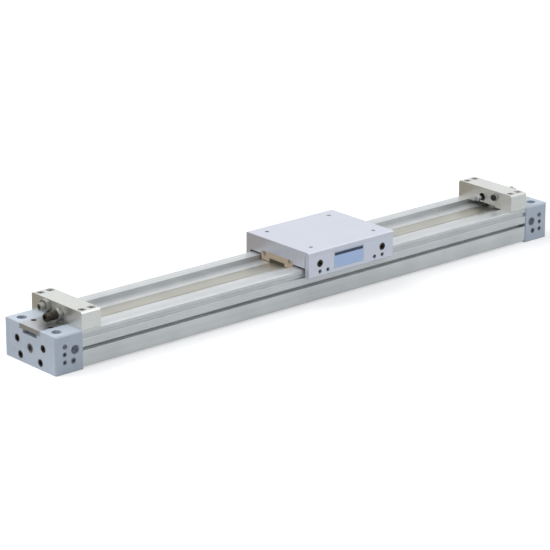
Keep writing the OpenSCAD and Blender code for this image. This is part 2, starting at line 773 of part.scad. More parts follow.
module adjusting_arm() {
    b = table_bevel;
    color(alu) on_table() difference() {
        along_x(-arm_len / 2, arm_len / 2) polygon([[-table_y, skirt_z + b], [b - table_y, skirt_z],
            [-skirt_y, skirt_z], [-skirt_y, arm_top_z - slide_gap], [-table_y, arm_top_z - slide_gap]]);
        for (x = arm_screw_x) translate([x, -table_y, arm_screw_z]) rotate([90, 0, 0]) cap_hole(m4,
            skirt_t);
        for (x = set_screw_x) translate([x, -table_y - 1, set_screw_z]) rod_y(m4 + 2 * fit, 10);
        translate([plate_x - plate_len / 2, -table_y - 1, plate_z - plate_h / 2]) cube([plate_len,
            1 + plate_t, plate_h]);
    }
}

module arm_screws() {
    color(steel) on_table() for (x = arm_screw_x)
        translate([x, -table_y, arm_screw_z]) rotate([90, 0, 0]) cap_screw(m4, arm_screw_len);
}

module bearing_set_screws() {
    len = table_y - skirt_y - 0.6;
    color(steel) on_table() for (x = set_screw_x)
        translate([x, -skirt_y - len, set_screw_z]) difference() {
            rod_y(m4, len);
            rotate([-90, 0, 0]) translate([0, 0, -eps]) cylinder(d = m4 / 2 / cos(30), h = 2, $fn = 6);
        }
}

module name_plate() {
    color(plate_blue) on_table()
        translate([plate_x - plate_len / 2 + slide_gap, -table_y, plate_z - plate_h / 2 + slide_gap])
            cube([plate_len - 2 * slide_gap, plate_t, plate_h - 2 * slide_gap]);
}

// ---- yoke, pistons and rollers ----

module yoke() {
    color(cast_alu) on_table() difference() {
        union() {
            difference() {
                on_bore() rod_x(2 * bar_r, -bar_half, bar_half);
                both_ends() along_x(neck_half, bar_half + 1) strip(tunnel_w, tunnel_z, bore_top_z);
            }
            along_x(-neck_half, neck_half) strip(neck_w, tunnel_z, flange_z + eps);
            along_x(-flange_half, flange_half) strip(flange_w, flange_z, flange_top_z);
        }
        along_x(-bar_half - 1, bar_half + 1) strip(tunnel_w, tunnel_z, tunnel_z + tunnel_h);
        on_bore() both_ends() rod_x(2 * spigot_r, bar_half - spigot_len - 1, bar_half + 1);
        both_ends() translate([bar_half - spigot_len / 2, -bore_d / 2, bore_z]) rod_y(m3 + 2 * fit,
            bore_d);
        for (x = [-yoke_screw_x, yoke_screw_x], y = [-yoke_screw_y, yoke_screw_y])
            translate([x, y, flange_z]) {
                translate([0, 0, -1]) cylinder(d = m4 + 2 * fit, h = flange_t + 2);
                translate([0, 0, -eps]) cylinder(d = m4 * head_ratio + 2 * slide_gap,
                    h = yoke_head_h + 2 * slide_gap + eps);
            }
    }
}

module yoke_screws() {
    color(steel) on_table() for (x = [-yoke_screw_x, yoke_screw_x], y = [-yoke_screw_y, yoke_screw_y])
        translate([x, y, flange_z]) {
            translate([0, 0, 2 * slide_gap]) cylinder(d = m4 * head_ratio, h = yoke_head_h);
            cylinder(d = m4, h = flange_t + yoke_screw_depth);
        }
}

// Drawn at the right hand end, with grooves for its rings
module piston(side) {
    r = piston_r;
    color(alu) on_table() cover_side(side) on_bore() difference() {
        turned_x([[bar_half - spigot_len, 0], [bar_half - spigot_len, spigot_r - fit],
            [bar_half, spigot_r - fit], [bar_half, r],
            [wear_x, r], [wear_x, r - wear_depth],
            [wear_x + wear_len, r - wear_depth], [wear_x + wear_len, r],
            [magnet_x, r], [magnet_x, r - magnet_depth],
            [magnet_x + magnet_len, r - magnet_depth], [magnet_x + magnet_len, r],
            [seal_x, r], [seal_x, r - seal_depth],
            [seal_x + seal_len, r - seal_depth], [seal_x + seal_len, r],
            [piston_reach - piston_bevel, r], [piston_reach, r - piston_bevel], [piston_reach, 0]]);
        rod_x(2 * socket_r, piston_reach - boss_reach - 4, piston_reach + 1);
        ring_x(boss_d, cushion_groove_d, cushion_x, cushion_x + cushion_len);
        translate([bar_half - spigot_len / 2, -bore_d / 2, 0]) rod_y(m3 + 2 * fit, bore_d);
    }
}

module piston_pins() {
    color(steel) on_table() both_ends()
        translate([bar_half - spigot_len / 2, 1 - bar_r, bore_z]) rod_y(m3, 2 * bar_r - 2);
}

module piston_seals() {
    r = bore_d / 2 - fit;
    x = seal_x + slide_gap;
    l = seal_len - 2 * slide_gap;
    r_in = piston_r - seal_depth + fit;
    color(rubber) on_table() both_ends() on_bore() turned_x([[x, r_in], [x + l, r_in],
        [x + l, r], [x + l * 0.7, r], [x + l * 0.4, r - 0.8], [x, r - 0.8]]);
}

module wear_rings() {
    color(resin) on_table() both_ends() on_bore()
        ring_x(2 * (piston_r - wear_depth + fit), bore_d - 2 * slide_gap,
            wear_x + slide_gap, wear_x + wear_len - slide_gap);
}

module magnets() {
    color(black) on_table() both_ends() on_bore()
        ring_x(2 * (piston_r - magnet_depth + fit), 2 * (piston_r - run_gap),
            magnet_x + slide_gap, magnet_x + magnet_len - slide_gap);
}

module cushion_seals() {
    color(rubber) on_table() both_ends() on_bore()
        ring_x(boss_d + 2 * slide_gap, cushion_groove_d - 2 * fit,
            cushion_x + slide_gap, cushion_x + cushion_len - slide_gap);
}

// Wedges in the slot that part the dust band from the seal belt
module belt_separators() {
    top = channel_z + run_gap;
    under = belt_t + 1.4;
    reach = belt_flat + 0.7 * belt_ramp;
    stations = [for (i = [0:7]) belt_flat + 0.1 * i * belt_ramp];
    low = [for (u = stations) [u, bore_top_z + under + lift(u, belt_flat, belt_ramp,
        belt_low_z - bore_top_z)]];
    outline = concat([[neck_half, belt_low_z + under]], low, [[reach, top - 0.8], [reach - 3, top],
        [neck_half, top]]);
    color(resin) on_table() both_ends() translate([0, neck_w / 2, 0]) rotate([90, 0, 0])
        linear_extrude(height = neck_w) polygon(outline);
}

module guide_roller(side) {
    color(steel) on_table() cover_side(side) translate([roller_x, -roller_half, roller_z])
        difference() {
        rod_y(2 * roller_r, 2 * roller_half);
        translate([0, -1, 0]) rod_y(roller_shaft_d + 2 * fit, 2 * roller_half + 2);
    }
}

module roller_shafts() {
    color(steel) on_table() both_ends() translate([roller_x, 1 - shoulder_y, roller_z])
        rod_y(roller_shaft_d - eps, 2 * shoulder_y - 2);
}

tube();
head_cover(-1);  // head_cover_left
head_cover(1);  // head_cover_right
cover_gaskets();
cushion_bosses();
cushion_needle(-1);  // cushion_needle_left
cushion_needle(1);  // cushion_needle_right
cover_screws();
port_plugs();
dust_band();
seal_belt();
band_clamps();
band_wedges();
clamp_screws();
stop_block(-1);  // stop_block_left
stop_block(1);  // stop_block_right
block_screws();
shock_absorber(-1);  // shock_absorber_left
shock_absorber(1);  // shock_absorber_right
absorber_plunger(-1);  // absorber_plunger_left
absorber_plunger(1);  // absorber_plunger_right
absorber_nuts();
adjusting_bolt(-1);  // adjusting_bolt_left
adjusting_bolt(1);  // adjusting_bolt_right
bolt_nuts();
bolt_bumper(-1);  // bolt_bumper_left
bolt_bumper(1);  // bolt_bumper_right
table();
yoke();
yoke_screws();
piston(-1);  // piston_left
piston(1);  // piston_right
piston_pins();
piston_seals();
wear_rings();
magnets();
cushion_seals();
belt_separators();
guide_roller(-1);  // guide_roller_left
guide_roller(1);  // guide_roller_right
roller_shafts();
end_cover(-1);  // end_cover_left
end_cover(1);  // end_cover_right
scrapers();
end_cover_screws();
top_bearings();
side_bearings();
adjusting_arm();
arm_screws();
bearing_set_screws();
name_plate();
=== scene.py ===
"""Rodless air cylinder: the finishes, threads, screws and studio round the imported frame.

Every finished piece sits in the frame's own coordinates, in metres: X runs along the
tube, -Y is the front and Z = 0 is the underside of the head covers.
"""

import json
import logging
import math
from collections.abc import Iterable, Sequence
from dataclasses import dataclass, field
from enum import Enum
from functools import cached_property

import bmesh
import bpy
from mathutils import Matrix, Vector


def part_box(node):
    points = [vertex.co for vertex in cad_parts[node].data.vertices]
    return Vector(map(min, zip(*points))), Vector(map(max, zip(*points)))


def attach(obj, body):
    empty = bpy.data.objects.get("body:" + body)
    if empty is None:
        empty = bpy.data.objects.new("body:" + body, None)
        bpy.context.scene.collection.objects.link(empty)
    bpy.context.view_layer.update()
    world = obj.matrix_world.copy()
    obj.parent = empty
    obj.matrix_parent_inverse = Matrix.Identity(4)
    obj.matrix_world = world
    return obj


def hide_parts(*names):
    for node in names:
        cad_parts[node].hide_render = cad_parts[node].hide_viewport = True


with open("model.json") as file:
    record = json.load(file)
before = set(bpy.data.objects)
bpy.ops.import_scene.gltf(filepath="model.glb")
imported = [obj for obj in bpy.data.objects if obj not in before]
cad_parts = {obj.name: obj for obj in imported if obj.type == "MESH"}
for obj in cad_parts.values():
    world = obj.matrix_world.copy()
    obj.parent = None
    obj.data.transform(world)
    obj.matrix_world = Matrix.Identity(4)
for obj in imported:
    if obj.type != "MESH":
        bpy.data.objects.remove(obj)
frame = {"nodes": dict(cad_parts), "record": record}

LOG = logging.getLogger("cylinder")
MM = 0.001
UP = Vector((0.0, 0.0, 1.0))
FRONTWARD = Vector((0.0, -1.0, 0.0))
WHITE = (1.0, 1.0, 1.0, 1.0)
JOIN_REACH = 1e-6
SORT_DIGITS = 5
SHARP_ANGLE = math.radians(35.0)

Node = bpy.types.Node
Socket = bpy.types.NodeSocket
Mesh = bpy.types.Mesh
Colour = tuple[float, float, float]
Point = tuple[float, float, float]
Linear = tuple[float, float, float, float]
Span = tuple[float, float]
Interface = dict[str, tuple[str, object]]
Places = list[tuple[Vector, Vector]]
Profile = list[tuple[object, object]]


# ---- node graphs ----


class Graph:
    """A node tree that is being filled: adds nodes, feeds their sockets and links them."""

    def __init__(self, tree: bpy.types.NodeTree) -> None:
        """Starts on a tree, which may already hold nodes."""
        self.tree = tree

    def open_sockets(self, side: str, sockets: Interface) -> None:
        """Gives the tree sockets of its own.

        Args:
            side: INPUT or OUTPUT.
            sockets: Socket kind and start value by name.
        """
        for label, (kind, value) in sockets.items():
            socket = self.tree.interface.new_socket(label, in_out=side, socket_type=f"NodeSocket{kind}")
            if value is not None:
                socket.default_value = value

    def feed(self, socket: Socket, value: object) -> None:
        """Links a socket or a node's first output to socket, or sets a plain value on it.

        Args:
            socket: The input to feed.
            value: Another socket, a node, or the value itself.
        """
        if isinstance(value, Node):
            value = value.outputs[0]
        if isinstance(value, Socket):
            self.tree.links.new(value, socket)
        else:
            socket.default_value = value

    def add(self, kind: str, inputs: dict | None = None, **settings: object) -> Node:
        """Adds one node.

        Args:
            kind: The node's type name.
            inputs: Values or sockets by input name or index.
            **settings: Properties of the node, set before its inputs.

        Returns:
            The new node.
        """
        node = self.tree.nodes.new(kind)
        for name, value in settings.items():
            setattr(node, name, value)
        for key, value in (inputs or {}).items():
            self.feed(node.inputs[key], value)
        return node

    def group(self, tree: bpy.types.NodeTree, **inputs: object) -> bpy.types.NodeOutputs:
        """Places a shader node group with its inputs by name, and returns its outputs."""
        return self.add("ShaderNodeGroup", inputs, node_tree=tree).outputs

    def math(self, operation: str, *values: object, clamp: bool = False) -> Socket:
        """Adds a Math node and returns its output.

        Args:
            operation: The node's operation.
            *values: Its inputs in order.
            clamp: Whether the result is held to 0..1.

        Returns:
            The result's socket.
        """
        inputs = dict(enumerate(values))
        return self.add("ShaderNodeMath", inputs, operation=operation, use_clamp=clamp).outputs[0]

    def plus(self, a: object, b: object, clamp: bool = False) -> Socket:
        """Adds two numbers."""
        return self.math("ADD", a, b, clamp=clamp)

    def minus(self, a: object, b: object) -> Socket:
        """Takes b from a."""
        return self.math("SUBTRACT", a, b)

    def times(self, a: object, b: object, clamp: bool = False) -> Socket:
        """Multiplies two numbers."""
        return self.math("MULTIPLY", a, b, clamp=clamp)

    def least(self, a: object, b: object) -> Socket:
        """Gives the smaller of two numbers."""
        return self.math("MINIMUM", a, b)

    def most(self, a: object, b: object) -> Socket:
        """Gives the larger of two numbers."""
        return self.math("MAXIMUM", a, b)

    def vector(self, operation: str, *values: object) -> bpy.types.NodeOutputs:
        """Adds a Vector Math node and returns its outputs, Vector and Value."""
        return self.add("ShaderNodeVectorMath", dict(enumerate(values)), operation=operation).outputs

    def split(self, vector: object) -> bpy.types.NodeOutputs:
        """Splits a vector and returns its X, Y and Z."""
        return self.add("ShaderNodeSeparateXYZ", {0: vector}).outputs

    def noise(self, place: object, scale: object, detail: float = 2.0, roughness: float = 0.5) -> Socket:
        """Adds a cloudy pattern.

        Args:
            place: The coordinates it is laid on.
            scale: Its cells for each metre.
            detail: Number of finer layers.
            roughness: Share of each finer layer.

        Returns:
            The pattern's socket, about 0 to 1.
        """
        inputs = {"Vector": place, "Scale": scale, "Detail": detail, "Roughness": roughness}
        return self.add("ShaderNodeTexNoise", inputs).outputs[0]

    def mix(self, factor: object, a: object, b: object) -> Socket:
        """Mixes two colours.

        Args:
            factor: Share of b.
            a: First colour.
            b: Second colour.

        Returns:
            The mixed colour's socket.
        """
        # Inputs 6 and 7 and output 2 are the node's colours.
        inputs = {0: factor, 6: a, 7: b}
        return self.add("ShaderNodeMix", inputs, data_type="RGBA").outputs[2]

    def spread(
        self, value: object, low: float, high: float, to_low: float = 0.0, to_high: float = 1.0
    ) -> Socket:
        """Maps a value from one span to another, held to the second span.

        Args:
            value: The value or socket.
            low: Start of the first span.
            high: End of the first span.
            to_low: Start of the second span.
            to_high: End of the second span.

        Returns:
            The mapped value's socket.
        """
        return self.add("ShaderNodeMapRange", {0: value, 1: low, 2: high, 3: to_low, 4: to_high}).outputs[0]


def emptied(owner: bpy.types.ID) -> Graph:
    """Clears the nodes of a material or world.

    Args:
        owner: The material or world.

    Returns:
        Its empty graph.
    """
    owner.use_nodes = True
    owner.node_tree.nodes.clear()
    return Graph(owner.node_tree)


def linear(colour: Colour) -> Linear:
    """Turns a colour as seen on a screen, 0 to 1, into the linear colour that shaders take.

    Args:
        colour: Red, green and blue.

    Returns:
        Linear red, green, blue and an alpha of 1.
    """
    steps = [c / 12.92 if c <= 0.04045 else ((c + 0.055) / 1.055) ** 2.4 for c in colour]
    return steps[0], steps[1], steps[2], 1.0


# ---- shared surface effects ----


class Effects:
    """The shader node groups that several finishes share, each built once."""

    # Levels of a cloudy pattern between which the effect goes from its least to full.
    SPECK_LEVELS = (0.55, 0.75)
    BREAK_LEVELS = (0.35, 0.62)
    DUST_LEVELS = (0.4, 0.7)
    # What is left of an effect where it is least.
    LEAST_BREAK = 0.25
    LEAST_DUST = 0.1
    LEAST_SLOPE = 0.15
    # How far a rounded edge leans from its face, and how far a face looks up.
    WEAR_AND_HIGHLIGHT_LEAN = (0.02, 0.16)
    DUST_SLOPE = (0.3, 1.0)
    # Cells of a pattern for each metre, or against those of the pattern that it goes with.
    BREAK_SCALE = 160.0
    DUST_SCALE = 55.0
    SPECK_SCALE = 45.0
    WAVE_SCALE = 0.2
    JITTER_SCALE = 0.37
    BROAD_SCALE = (0.3, 0.12, 0.12)
    PEEL_HEIGHT = 0.6

    @staticmethod
    def _group(
        name: str, inputs: Interface, outputs: dict[str, str]
    ) -> tuple[Graph, bpy.types.NodeOutputs, bpy.types.NodeInputs]:
        """Makes an empty group with a Place input and its other sockets.

        Args:
            name: The group's name.
            inputs: Socket kind and start value by name, besides Place.
            outputs: Socket kind by name.

        Returns:
            The graph, the sockets that it is given and the sockets that it fills.
        """
        g = Graph(bpy.data.node_groups.new(name, "ShaderNodeTree"))
        g.open_sockets("INPUT", {"Place": ("Vector", None), **inputs})
        g.open_sockets("OUTPUT", {label: (kind, None) for label, kind in outputs.items()})
        return g, g.add("NodeGroupInput").outputs, g.add("NodeGroupOutput").inputs

    @cached_property
    def drawn_lines(self) -> bpy.types.NodeTree:
        """Long fine lines, as a die, rolls or an abrasive leave them, drawn out along one axis.

        Returns:
            The group.
        """
        inputs = {"Stretch": ("Vector", (4.0, 900.0, 900.0))}
        g, given, made = self._group("Drawn lines", inputs, {"Fine": "Float", "Broad": "Float"})
        fine = g.vector("MULTIPLY", given["Place"], given["Stretch"])[0]
        broad = g.vector("MULTIPLY", fine, self.BROAD_SCALE)[0]
        g.feed(made["Fine"], g.noise(fine, 1.0, detail=3.0, roughness=0.6))
        g.feed(made["Broad"], g.noise(broad, 1.0))
        return g.tree

    @cached_property
    def mottle(self) -> bpy.types.NodeTree:
        """Soft patches of tone over a few centimetres, with small specks inside them.

        Returns:
            The group.
        """
        inputs = {"Scale": ("Float", 30.0)}
        g, given, made = self._group("Mottle", inputs, {"Tone": "Float", "Speck": "Float"})
        speck = g.noise(given["Place"], g.times(given["Scale"], self.SPECK_SCALE), detail=1.0)
        g.feed(made["Tone"], g.noise(given["Place"], given["Scale"], detail=4.0))
        g.feed(made["Speck"], g.spread(speck, *self.SPECK_LEVELS))
        return g.tree

    @cached_property
    def worn_and_highlit_edges(self) -> bpy.types.NodeTree:
        """Edges rounded by a small radius, and a broken mask along them where the finish is rubbed through to
        worn metal, which also lays a painted edge highlight.

        Returns:
            The group.
        """
        inputs = {"Radius": ("Float", 0.4 * MM), "Rub": ("Float", 0.5)}
        g, given, made = self._group("Worn edges", inputs, {"Mask": "Float", "Normal": "Vector"})
        rounded = g.add("ShaderNodeBevel", {"Radius": given["Radius"]}, samples=6).outputs[0]
        normal = g.add("ShaderNodeNewGeometry").outputs["Normal"]
        lean = g.minus(1.0, g.vector("DOT_PRODUCT", rounded, normal)["Value"])
        cloud = g.noise(given["Place"], self.BREAK_SCALE, detail=3.0)
        breaks = g.spread(cloud, *self.BREAK_LEVELS, self.LEAST_BREAK, 1.0)
        # The mask marks worn edges and a painted edge highlight along them.
        mask = g.times(g.spread(lean, *self.WEAR_AND_HIGHLIGHT_LEAN), breaks)
        g.feed(made["Mask"], g.times(mask, given["Rub"], clamp=True))
        g.feed(made["Normal"], rounded)
        return g.tree

    @cached_property
    def settled_dust(self) -> bpy.types.NodeTree:
        """A thin broken film on faces that look up.

        Returns:
            The group.
        """
        g, given, made = self._group("Settled dust", {"Amount": ("Float", 0.1)}, {"Mask": "Float"})
        normal = g.add("ShaderNodeNewGeometry").outputs["Normal"]
        upward = g.spread(g.split(normal)["Z"], *self.DUST_SLOPE, self.LEAST_SLOPE, 1.0)
        cloud = g.noise(given["Place"], self.DUST_SCALE, detail=6.0, roughness=0.65)
        film = g.times(upward, g.spread(cloud, *self.DUST_LEVELS, self.LEAST_DUST, 1.0))
        g.feed(made["Mask"], g.times(film, given["Amount"], clamp=True))
        return g.tree

    @cached_property
    def cast_skin(self) -> bpy.types.NodeTree:
        """The orange peel of paint over a die casting, on a slower wave of the metal below.

        Returns:
            The group.
        """
        g, given, made = self._group("Cast skin", {"Scale": ("Float", 900.0)}, {"Height": "Float"})
        cells = {"Vector": given["Place"], "Scale": given["Scale"]}
        peel = g.add("ShaderNodeTexVoronoi", cells, feature="SMOOTH_F1").outputs[0]
        wave = g.noise(given["Place"], g.times(given["Scale"], self.WAVE_SCALE))
        g.feed(made["Height"], g.plus(g.times(peel, self.PEEL_HEIGHT), wave))
        return g.tree

    @cached_property
    def turning_marks(self) -> bpy.types.NodeTree:
        """Fine uneven rings left by a lathe tool, counted along one direction of the work.

        Returns:
            The group.
        """
        inputs = {"Along": ("Vector", (1.0, 0.0, 0.0)), "Pitch": ("Float", 0.25 * MM)}
        g, given, made = self._group("Turning marks", inputs, {"Height": "Float"})
        reach = g.vector("DOT_PRODUCT", given["Place"], given["Along"])["Value"]
        turns = g.math("DIVIDE", reach, given["Pitch"])
        beat = {"W": g.times(turns, self.JITTER_SCALE), "Scale": 1.0}
        jitter = g.add("ShaderNodeTexNoise", beat, noise_dimensions="1D").outputs[0]
        g.feed(made["Height"], g.times(g.math("PINGPONG", turns, 1.0), jitter))
        return g.tree


# ---- finishes ----


class Grain(Enum):
    """How a surface was made, which sets the marks on it."""

    DRAWN = "lines along the tube"
    BRUSHED = "close lines along the strip"
    BLASTED = "fine matte speckle"
    PAINTED = "paint over a casting"
    TURNED = "rings from a lathe"
    MOULDED = "moulded skin"


LINES_PER_METRE = {Grain.DRAWN: (3.0, 1100.0, 1100.0), Grain.BRUSHED: (14.0, 2600.0, 2600.0)}
CELLS_PER_METRE = {Grain.PAINTED: 650.0, Grain.BLASTED: 2600.0, Grain.MOULDED: 1500.0}

STREAK_SHARE = 0.4
PATCH_SHARE = 0.45
HEIGHT_SHARE = 0.3
TONE_SPAN = (0.3, 0.85)
STREAK_SPAN = (0.2, 0.8)
STREAK_ROUGHNESS = 0.05
SPECK_ROUGHNESS = 0.05
DUST_ROUGHNESS = 0.3
DUST_COLOUR = (0.80, 0.79, 0.76)
COAT_ROUGHNESS = 0.25


@dataclass(frozen=True)
class Finish:
    """One finish of the cylinder: its colours, gloss and the marks it carries.

    Colours are as seen on a screen, 0 to 1. Lengths are in millimetres.

    Attributes:
        slot: The record's material slot.
        colour: The colour of its light patches.
        shade: The colour of its dark patches.
        grain: How the surface was made.
        metallic: Share of metal.
        roughness: The middle of its roughness.
        relief: Height of the marks.
        edge: Radius of the rounded edges.
        rub_and_highlight: How far the edges are rubbed through to worn metal, which also lightens them as a
            painted edge highlight.
        bare_and_highlight: The colour at rubbed edges: worn metal, and a painted edge highlight.
        dust: Amount of settled dust.
        coat: Weight of a clear coat.
        axis: The direction that lathe rings are counted along.
    """

    slot: str
    colour: Colour
    shade: Colour
    grain: Grain
    metallic: float = 0.0
    roughness: float = 0.4
    relief: float = 0.02
    edge: float = 0.35
    # Rubbed edges show worn metal, and a painted edge highlight along them.
    rub_and_highlight: float = 0.4
    bare_and_highlight: Colour = (0.86, 0.87, 0.88)
    dust: float = 0.06
    coat: float = 0.0
    axis: Point = (1.0, 0.0, 0.0)

    def _marks(self, g: Graph, place: Socket, effects: Effects) -> tuple[Socket, Socket]:
        """Adds the marks of the grain.

        Args:
            g: The material's graph.
            place: Object coordinates.
            effects: The shared groups.

        Returns:
            The height of the marks and their tone, both about 0 to 1.
        """
        if self.grain in LINES_PER_METRE:
            lines = g.group(effects.drawn_lines, Place=place, Stretch=LINES_PER_METRE[self.grain])
            return lines["Fine"], lines["Broad"]
        if self.grain is Grain.TURNED:
            height = g.group(effects.turning_marks, Place=place, Along=self.axis)["Height"]
        else:
            height = g.group(effects.cast_skin, Place=place, Scale=CELLS_PER_METRE[self.grain])["Height"]
        return height, height

    def _colour(self, g: Graph, place: Socket, tone: Socket) -> Socket:
        """Adds the base colour before wear and dust.

        Args:
            g: The material's graph.
            place: Object coordinates, which a patterned finish reads.
            tone: The tone of the marks and patches, 0 to 1.

        Returns:
            The colour's socket.
        """
        return g.mix(tone, linear(self.shade), linear(self.colour))

    def material(self, effects: Effects) -> bpy.types.Material:
        """Builds the finish as a node material.

        Args:
            effects: The shared groups.

        Returns:
            The material.
        """
        material = bpy.data.materials.new(self.slot)
        g = emptied(material)
        place = g.add("ShaderNodeTexCoord").outputs["Object"]
        height, streak = self._marks(g, place, effects)
        patches = g.group(effects.mottle, Place=place)
        edges = g.group(effects.worn_and_highlit_edges, Place=place, Radius=self.edge * MM, Rub=self.rub_and_highlight)
        dust = g.group(effects.settled_dust, Place=place, Amount=self.dust)["Mask"]

        mixed = g.plus(g.times(streak, STREAK_SHARE), g.times(patches["Tone"], PATCH_SHARE))
        tone = g.spread(g.plus(mixed, g.times(height, HEIGHT_SHARE)), *TONE_SPAN)
        # Edges turn lighter along the mask: worn metal, and a painted edge highlight.
        colour = g.mix(edges["Mask"], self._colour(g, place, tone), linear(self.bare_and_highlight))
        colour = g.mix(dust, colour, linear(DUST_COLOUR))

        dull, bright = self.roughness + STREAK_ROUGHNESS, self.roughness - STREAK_ROUGHNESS
        rough = g.spread(streak, *STREAK_SPAN, dull, bright)
        rough = g.plus(rough, g.times(dust, DUST_ROUGHNESS), clamp=True)
        rough = g.plus(rough, g.times(patches["Speck"], SPECK_ROUGHNESS), clamp=True)
        relief = {"Strength": 1.0, "Distance": self.relief * MM, "Height": height, "Normal": edges["Normal"]}

        surface = {"Base Color": colour, "Metallic": self.metallic, "Roughness": rough}
        surface["Normal"] = g.add("ShaderNodeBump", relief)
        if self.coat:
            surface |= {"Coat Weight": self.coat, "Coat Roughness": COAT_ROUGHNESS}
        shader = g.add("ShaderNodeBsdfPrincipled", surface)
        g.feed(g.add("ShaderNodeOutputMaterial").inputs[0], shader)
        return material


@dataclass(frozen=True)
class PlateFinish(Finish):
    """A blank printed plate: a dark band along its upper edge over a pale blue field, with a pale border.

    Attributes:
        low: Height of the plate's lower edge.
        high: Height of its upper edge.
        left: Its left end.
        right: Its right end.
        band: Colour of the band.
        border: Colour of the border.
        band_foot: Where the band starts, as a share of the height.
        end_rim: Where the border fades at the ends, as a share of the length.
        edge_rim: Where the border fades at the edges, as a share of the height.
    """

    low: float = 0.0
    high: float = 1.0
    left: float = 0.0
    right: float = 1.0
    band: Colour = (0.20, 0.23, 0.34)
    border: Colour = (0.72, 0.79, 0.88)
    band_foot: Span = (0.755, 0.765)
    end_rim: Span = (0.018, 0.022)
    edge_rim: Span = (0.05, 0.06)

    def _colour(self, g: Graph, place: Socket, tone: Socket) -> Socket:
        """Adds the field, band and border by height and length on the plate.

        Args:
            g: The material's graph.
            place: Object coordinates.
            tone: The tone of the marks and patches, 0 to 1.

        Returns:
            The colour's socket.
        """
        axes = g.split(place)
        up = g.spread(axes["Z"], self.low, self.high)
        along = g.spread(axes["X"], self.left, self.right)
        near_end = g.least(along, g.minus(1.0, along))
        near_edge = g.least(up, g.minus(1.0, up))
        end_rim = g.spread(near_end, *self.end_rim, 1.0, 0.0)
        edge_rim = g.spread(near_edge, *self.edge_rim, 1.0, 0.0)
        banded = g.mix(g.spread(up, *self.band_foot), super()._colour(g, place, tone), linear(self.band))
        return g.mix(g.most(end_rim, edge_rim), banded, linear(self.border))


class Workshop:
    """Keeps one material for each of the record's slots and puts it on pieces."""

    def __init__(self, finishes: Iterable[Finish]) -> None:
        """Builds one material for each finish."""
        effects = Effects()
        self.materials = {finish.slot: finish.material(effects) for finish in finishes}

    def dress_frame(self) -> int:
        """Puts each frame node's finish on it.

        Returns:
            The number of nodes dressed.
        """
        parts = frame["record"]["subparts"]
        for part in parts:
            for slot in frame["nodes"][part["node"]].material_slots:
                slot.material = self.materials[part["material_slot"]]
        return len(parts)


# ---- meshes ----


def body_of(node: str) -> str:
    """Names the body that a frame node rides on."""
    return next(body for body, nodes in frame["record"]["behaviour"]["bodies"].items() if node in nodes)


def slot_of(node: str) -> str:
    """Names the material slot of a frame node."""
    return next(p["material_slot"] for p in frame["record"]["subparts"] if p["node"] == node)


def outward(place: Vector) -> Vector:
    """Gives the way along X that leads from the tube's middle to place."""
    return Vector((math.copysign(1.0, place.x), 0.0, 0.0))


def standing(low: Vector, high: Vector) -> tuple[Vector, Vector]:
    """Finds how a part whose axis runs along X stands on its inner end.

    Args:
        low: Its lowest corner.
        high: Its highest corner.

    Returns:
        The middle of the inner end and the way outwards.
    """
    way = outward(low)
    foot = (low + high) / 2
    foot.x = low.x if way.x > 0 else high.x
    return foot, way


def merged(node: str) -> bmesh.types.BMesh:
    """Copies a frame node's mesh with its loose triangles joined.

    Args:
        node: The node's name.

    Returns:
        The joined copy.
    """
    work = bmesh.new()
    work.from_mesh(frame["nodes"][node].data)
    bmesh.ops.remove_doubles(work, verts=work.verts, dist=JOIN_REACH)
    return work


def solids(node: str) -> list[tuple[Vector, Vector]]:
    """Finds the separate solids of a frame node.

    Args:
        node: The node's name.

    Returns:
        The lowest and highest corner of each, from left to right, front to back.
    """
    work = merged(node)
    seen: set[bmesh.types.BMVert] = set()
    boxes = []
    for start in work.verts:
        if start in seen:
            continue
        seen.add(start)
        group, reached = [start], [start]
        while reached:
            linked = {vert for edge in reached.pop().link_edges for vert in edge.verts} - seen
            seen |= linked
            group.extend(linked)
            reached.extend(linked)
        low = Vector([min(vert.co[k] for vert in group) for k in range(3)])
        high = Vector([max(vert.co[k] for vert in group) for k in range(3)])
        boxes.append((low, high))
    work.free()
    return sorted(boxes, key=lambda box: tuple(round(c, SORT_DIGITS) for c in box[0] + box[1]))


def smooth(mesh: Mesh) -> Mesh:
    """Shades a mesh smooth, with sharp edges where its faces turn.

    Args:
        mesh: The mesh, which is changed.

    Returns:
        The same mesh.
    """
    mesh.shade_smooth()
    mesh.set_sharp_from_angle(angle=SHARP_ANGLE)
    return mesh


def finished(name: str, work: bmesh.types.BMesh) -> Mesh:
    """Ends a working copy as a plain smooth mesh.

    Args:
        name: The mesh's name.
        work: The working copy, which is freed.

    Returns:
        The mesh.
    """
    mesh = bpy.data.meshes.new(name)
    work.to_mesh(mesh)
    work.free()
    return smooth(mesh)


def strip_mesh(name: str, low: Vector, high: Vector, edge: float) -> Mesh:
    """Makes a flat strip between two corners, with its long edges rounded.

    Args:
        name: The mesh's name.
        low: Lowest corner.
        high: Highest corner.
        edge: Radius of the rounding.

    Returns:
        The mesh.
    """
    work = bmesh.new()
    bmesh.ops.create_cube(work, size=1.0)
    span, middle = high - low, (high + low) / 2
    for vert in work.verts:
        vert.co = Vector([vert.co[k] * span[k] + middle[k] for k in range(3)])
    long_edges = [e for e in work.edges if abs(e.verts[0].co.x - e.verts[1].co.x) > span.x / 2]
    bmesh.ops.bevel(work, geom=long_edges, offset=edge, segments=3, affect="EDGES", profile=0.5)
    return finished(name, work)


def stood(mesh: Mesh, place: Vector, way: Vector) -> Mesh:
    """Turns a mesh that stands on Z to face along way, and puts its foot at place."""
    mesh.transform(Matrix.Translation(place) @ way.to_track_quat("Z", "Y").to_matrix().to_4x4())
    return mesh


def placed(name: str, data: bpy.types.ID) -> bpy.types.Object:
    """Makes an object of a mesh, lamp or camera and puts it in the scene.

    Args:
        name: The object's name.
        data: What it shows.

    Returns:
        The new object.
    """
    item = bpy.data.objects.new(name, data)
    bpy.context.scene.collection.objects.link(item)
    return item


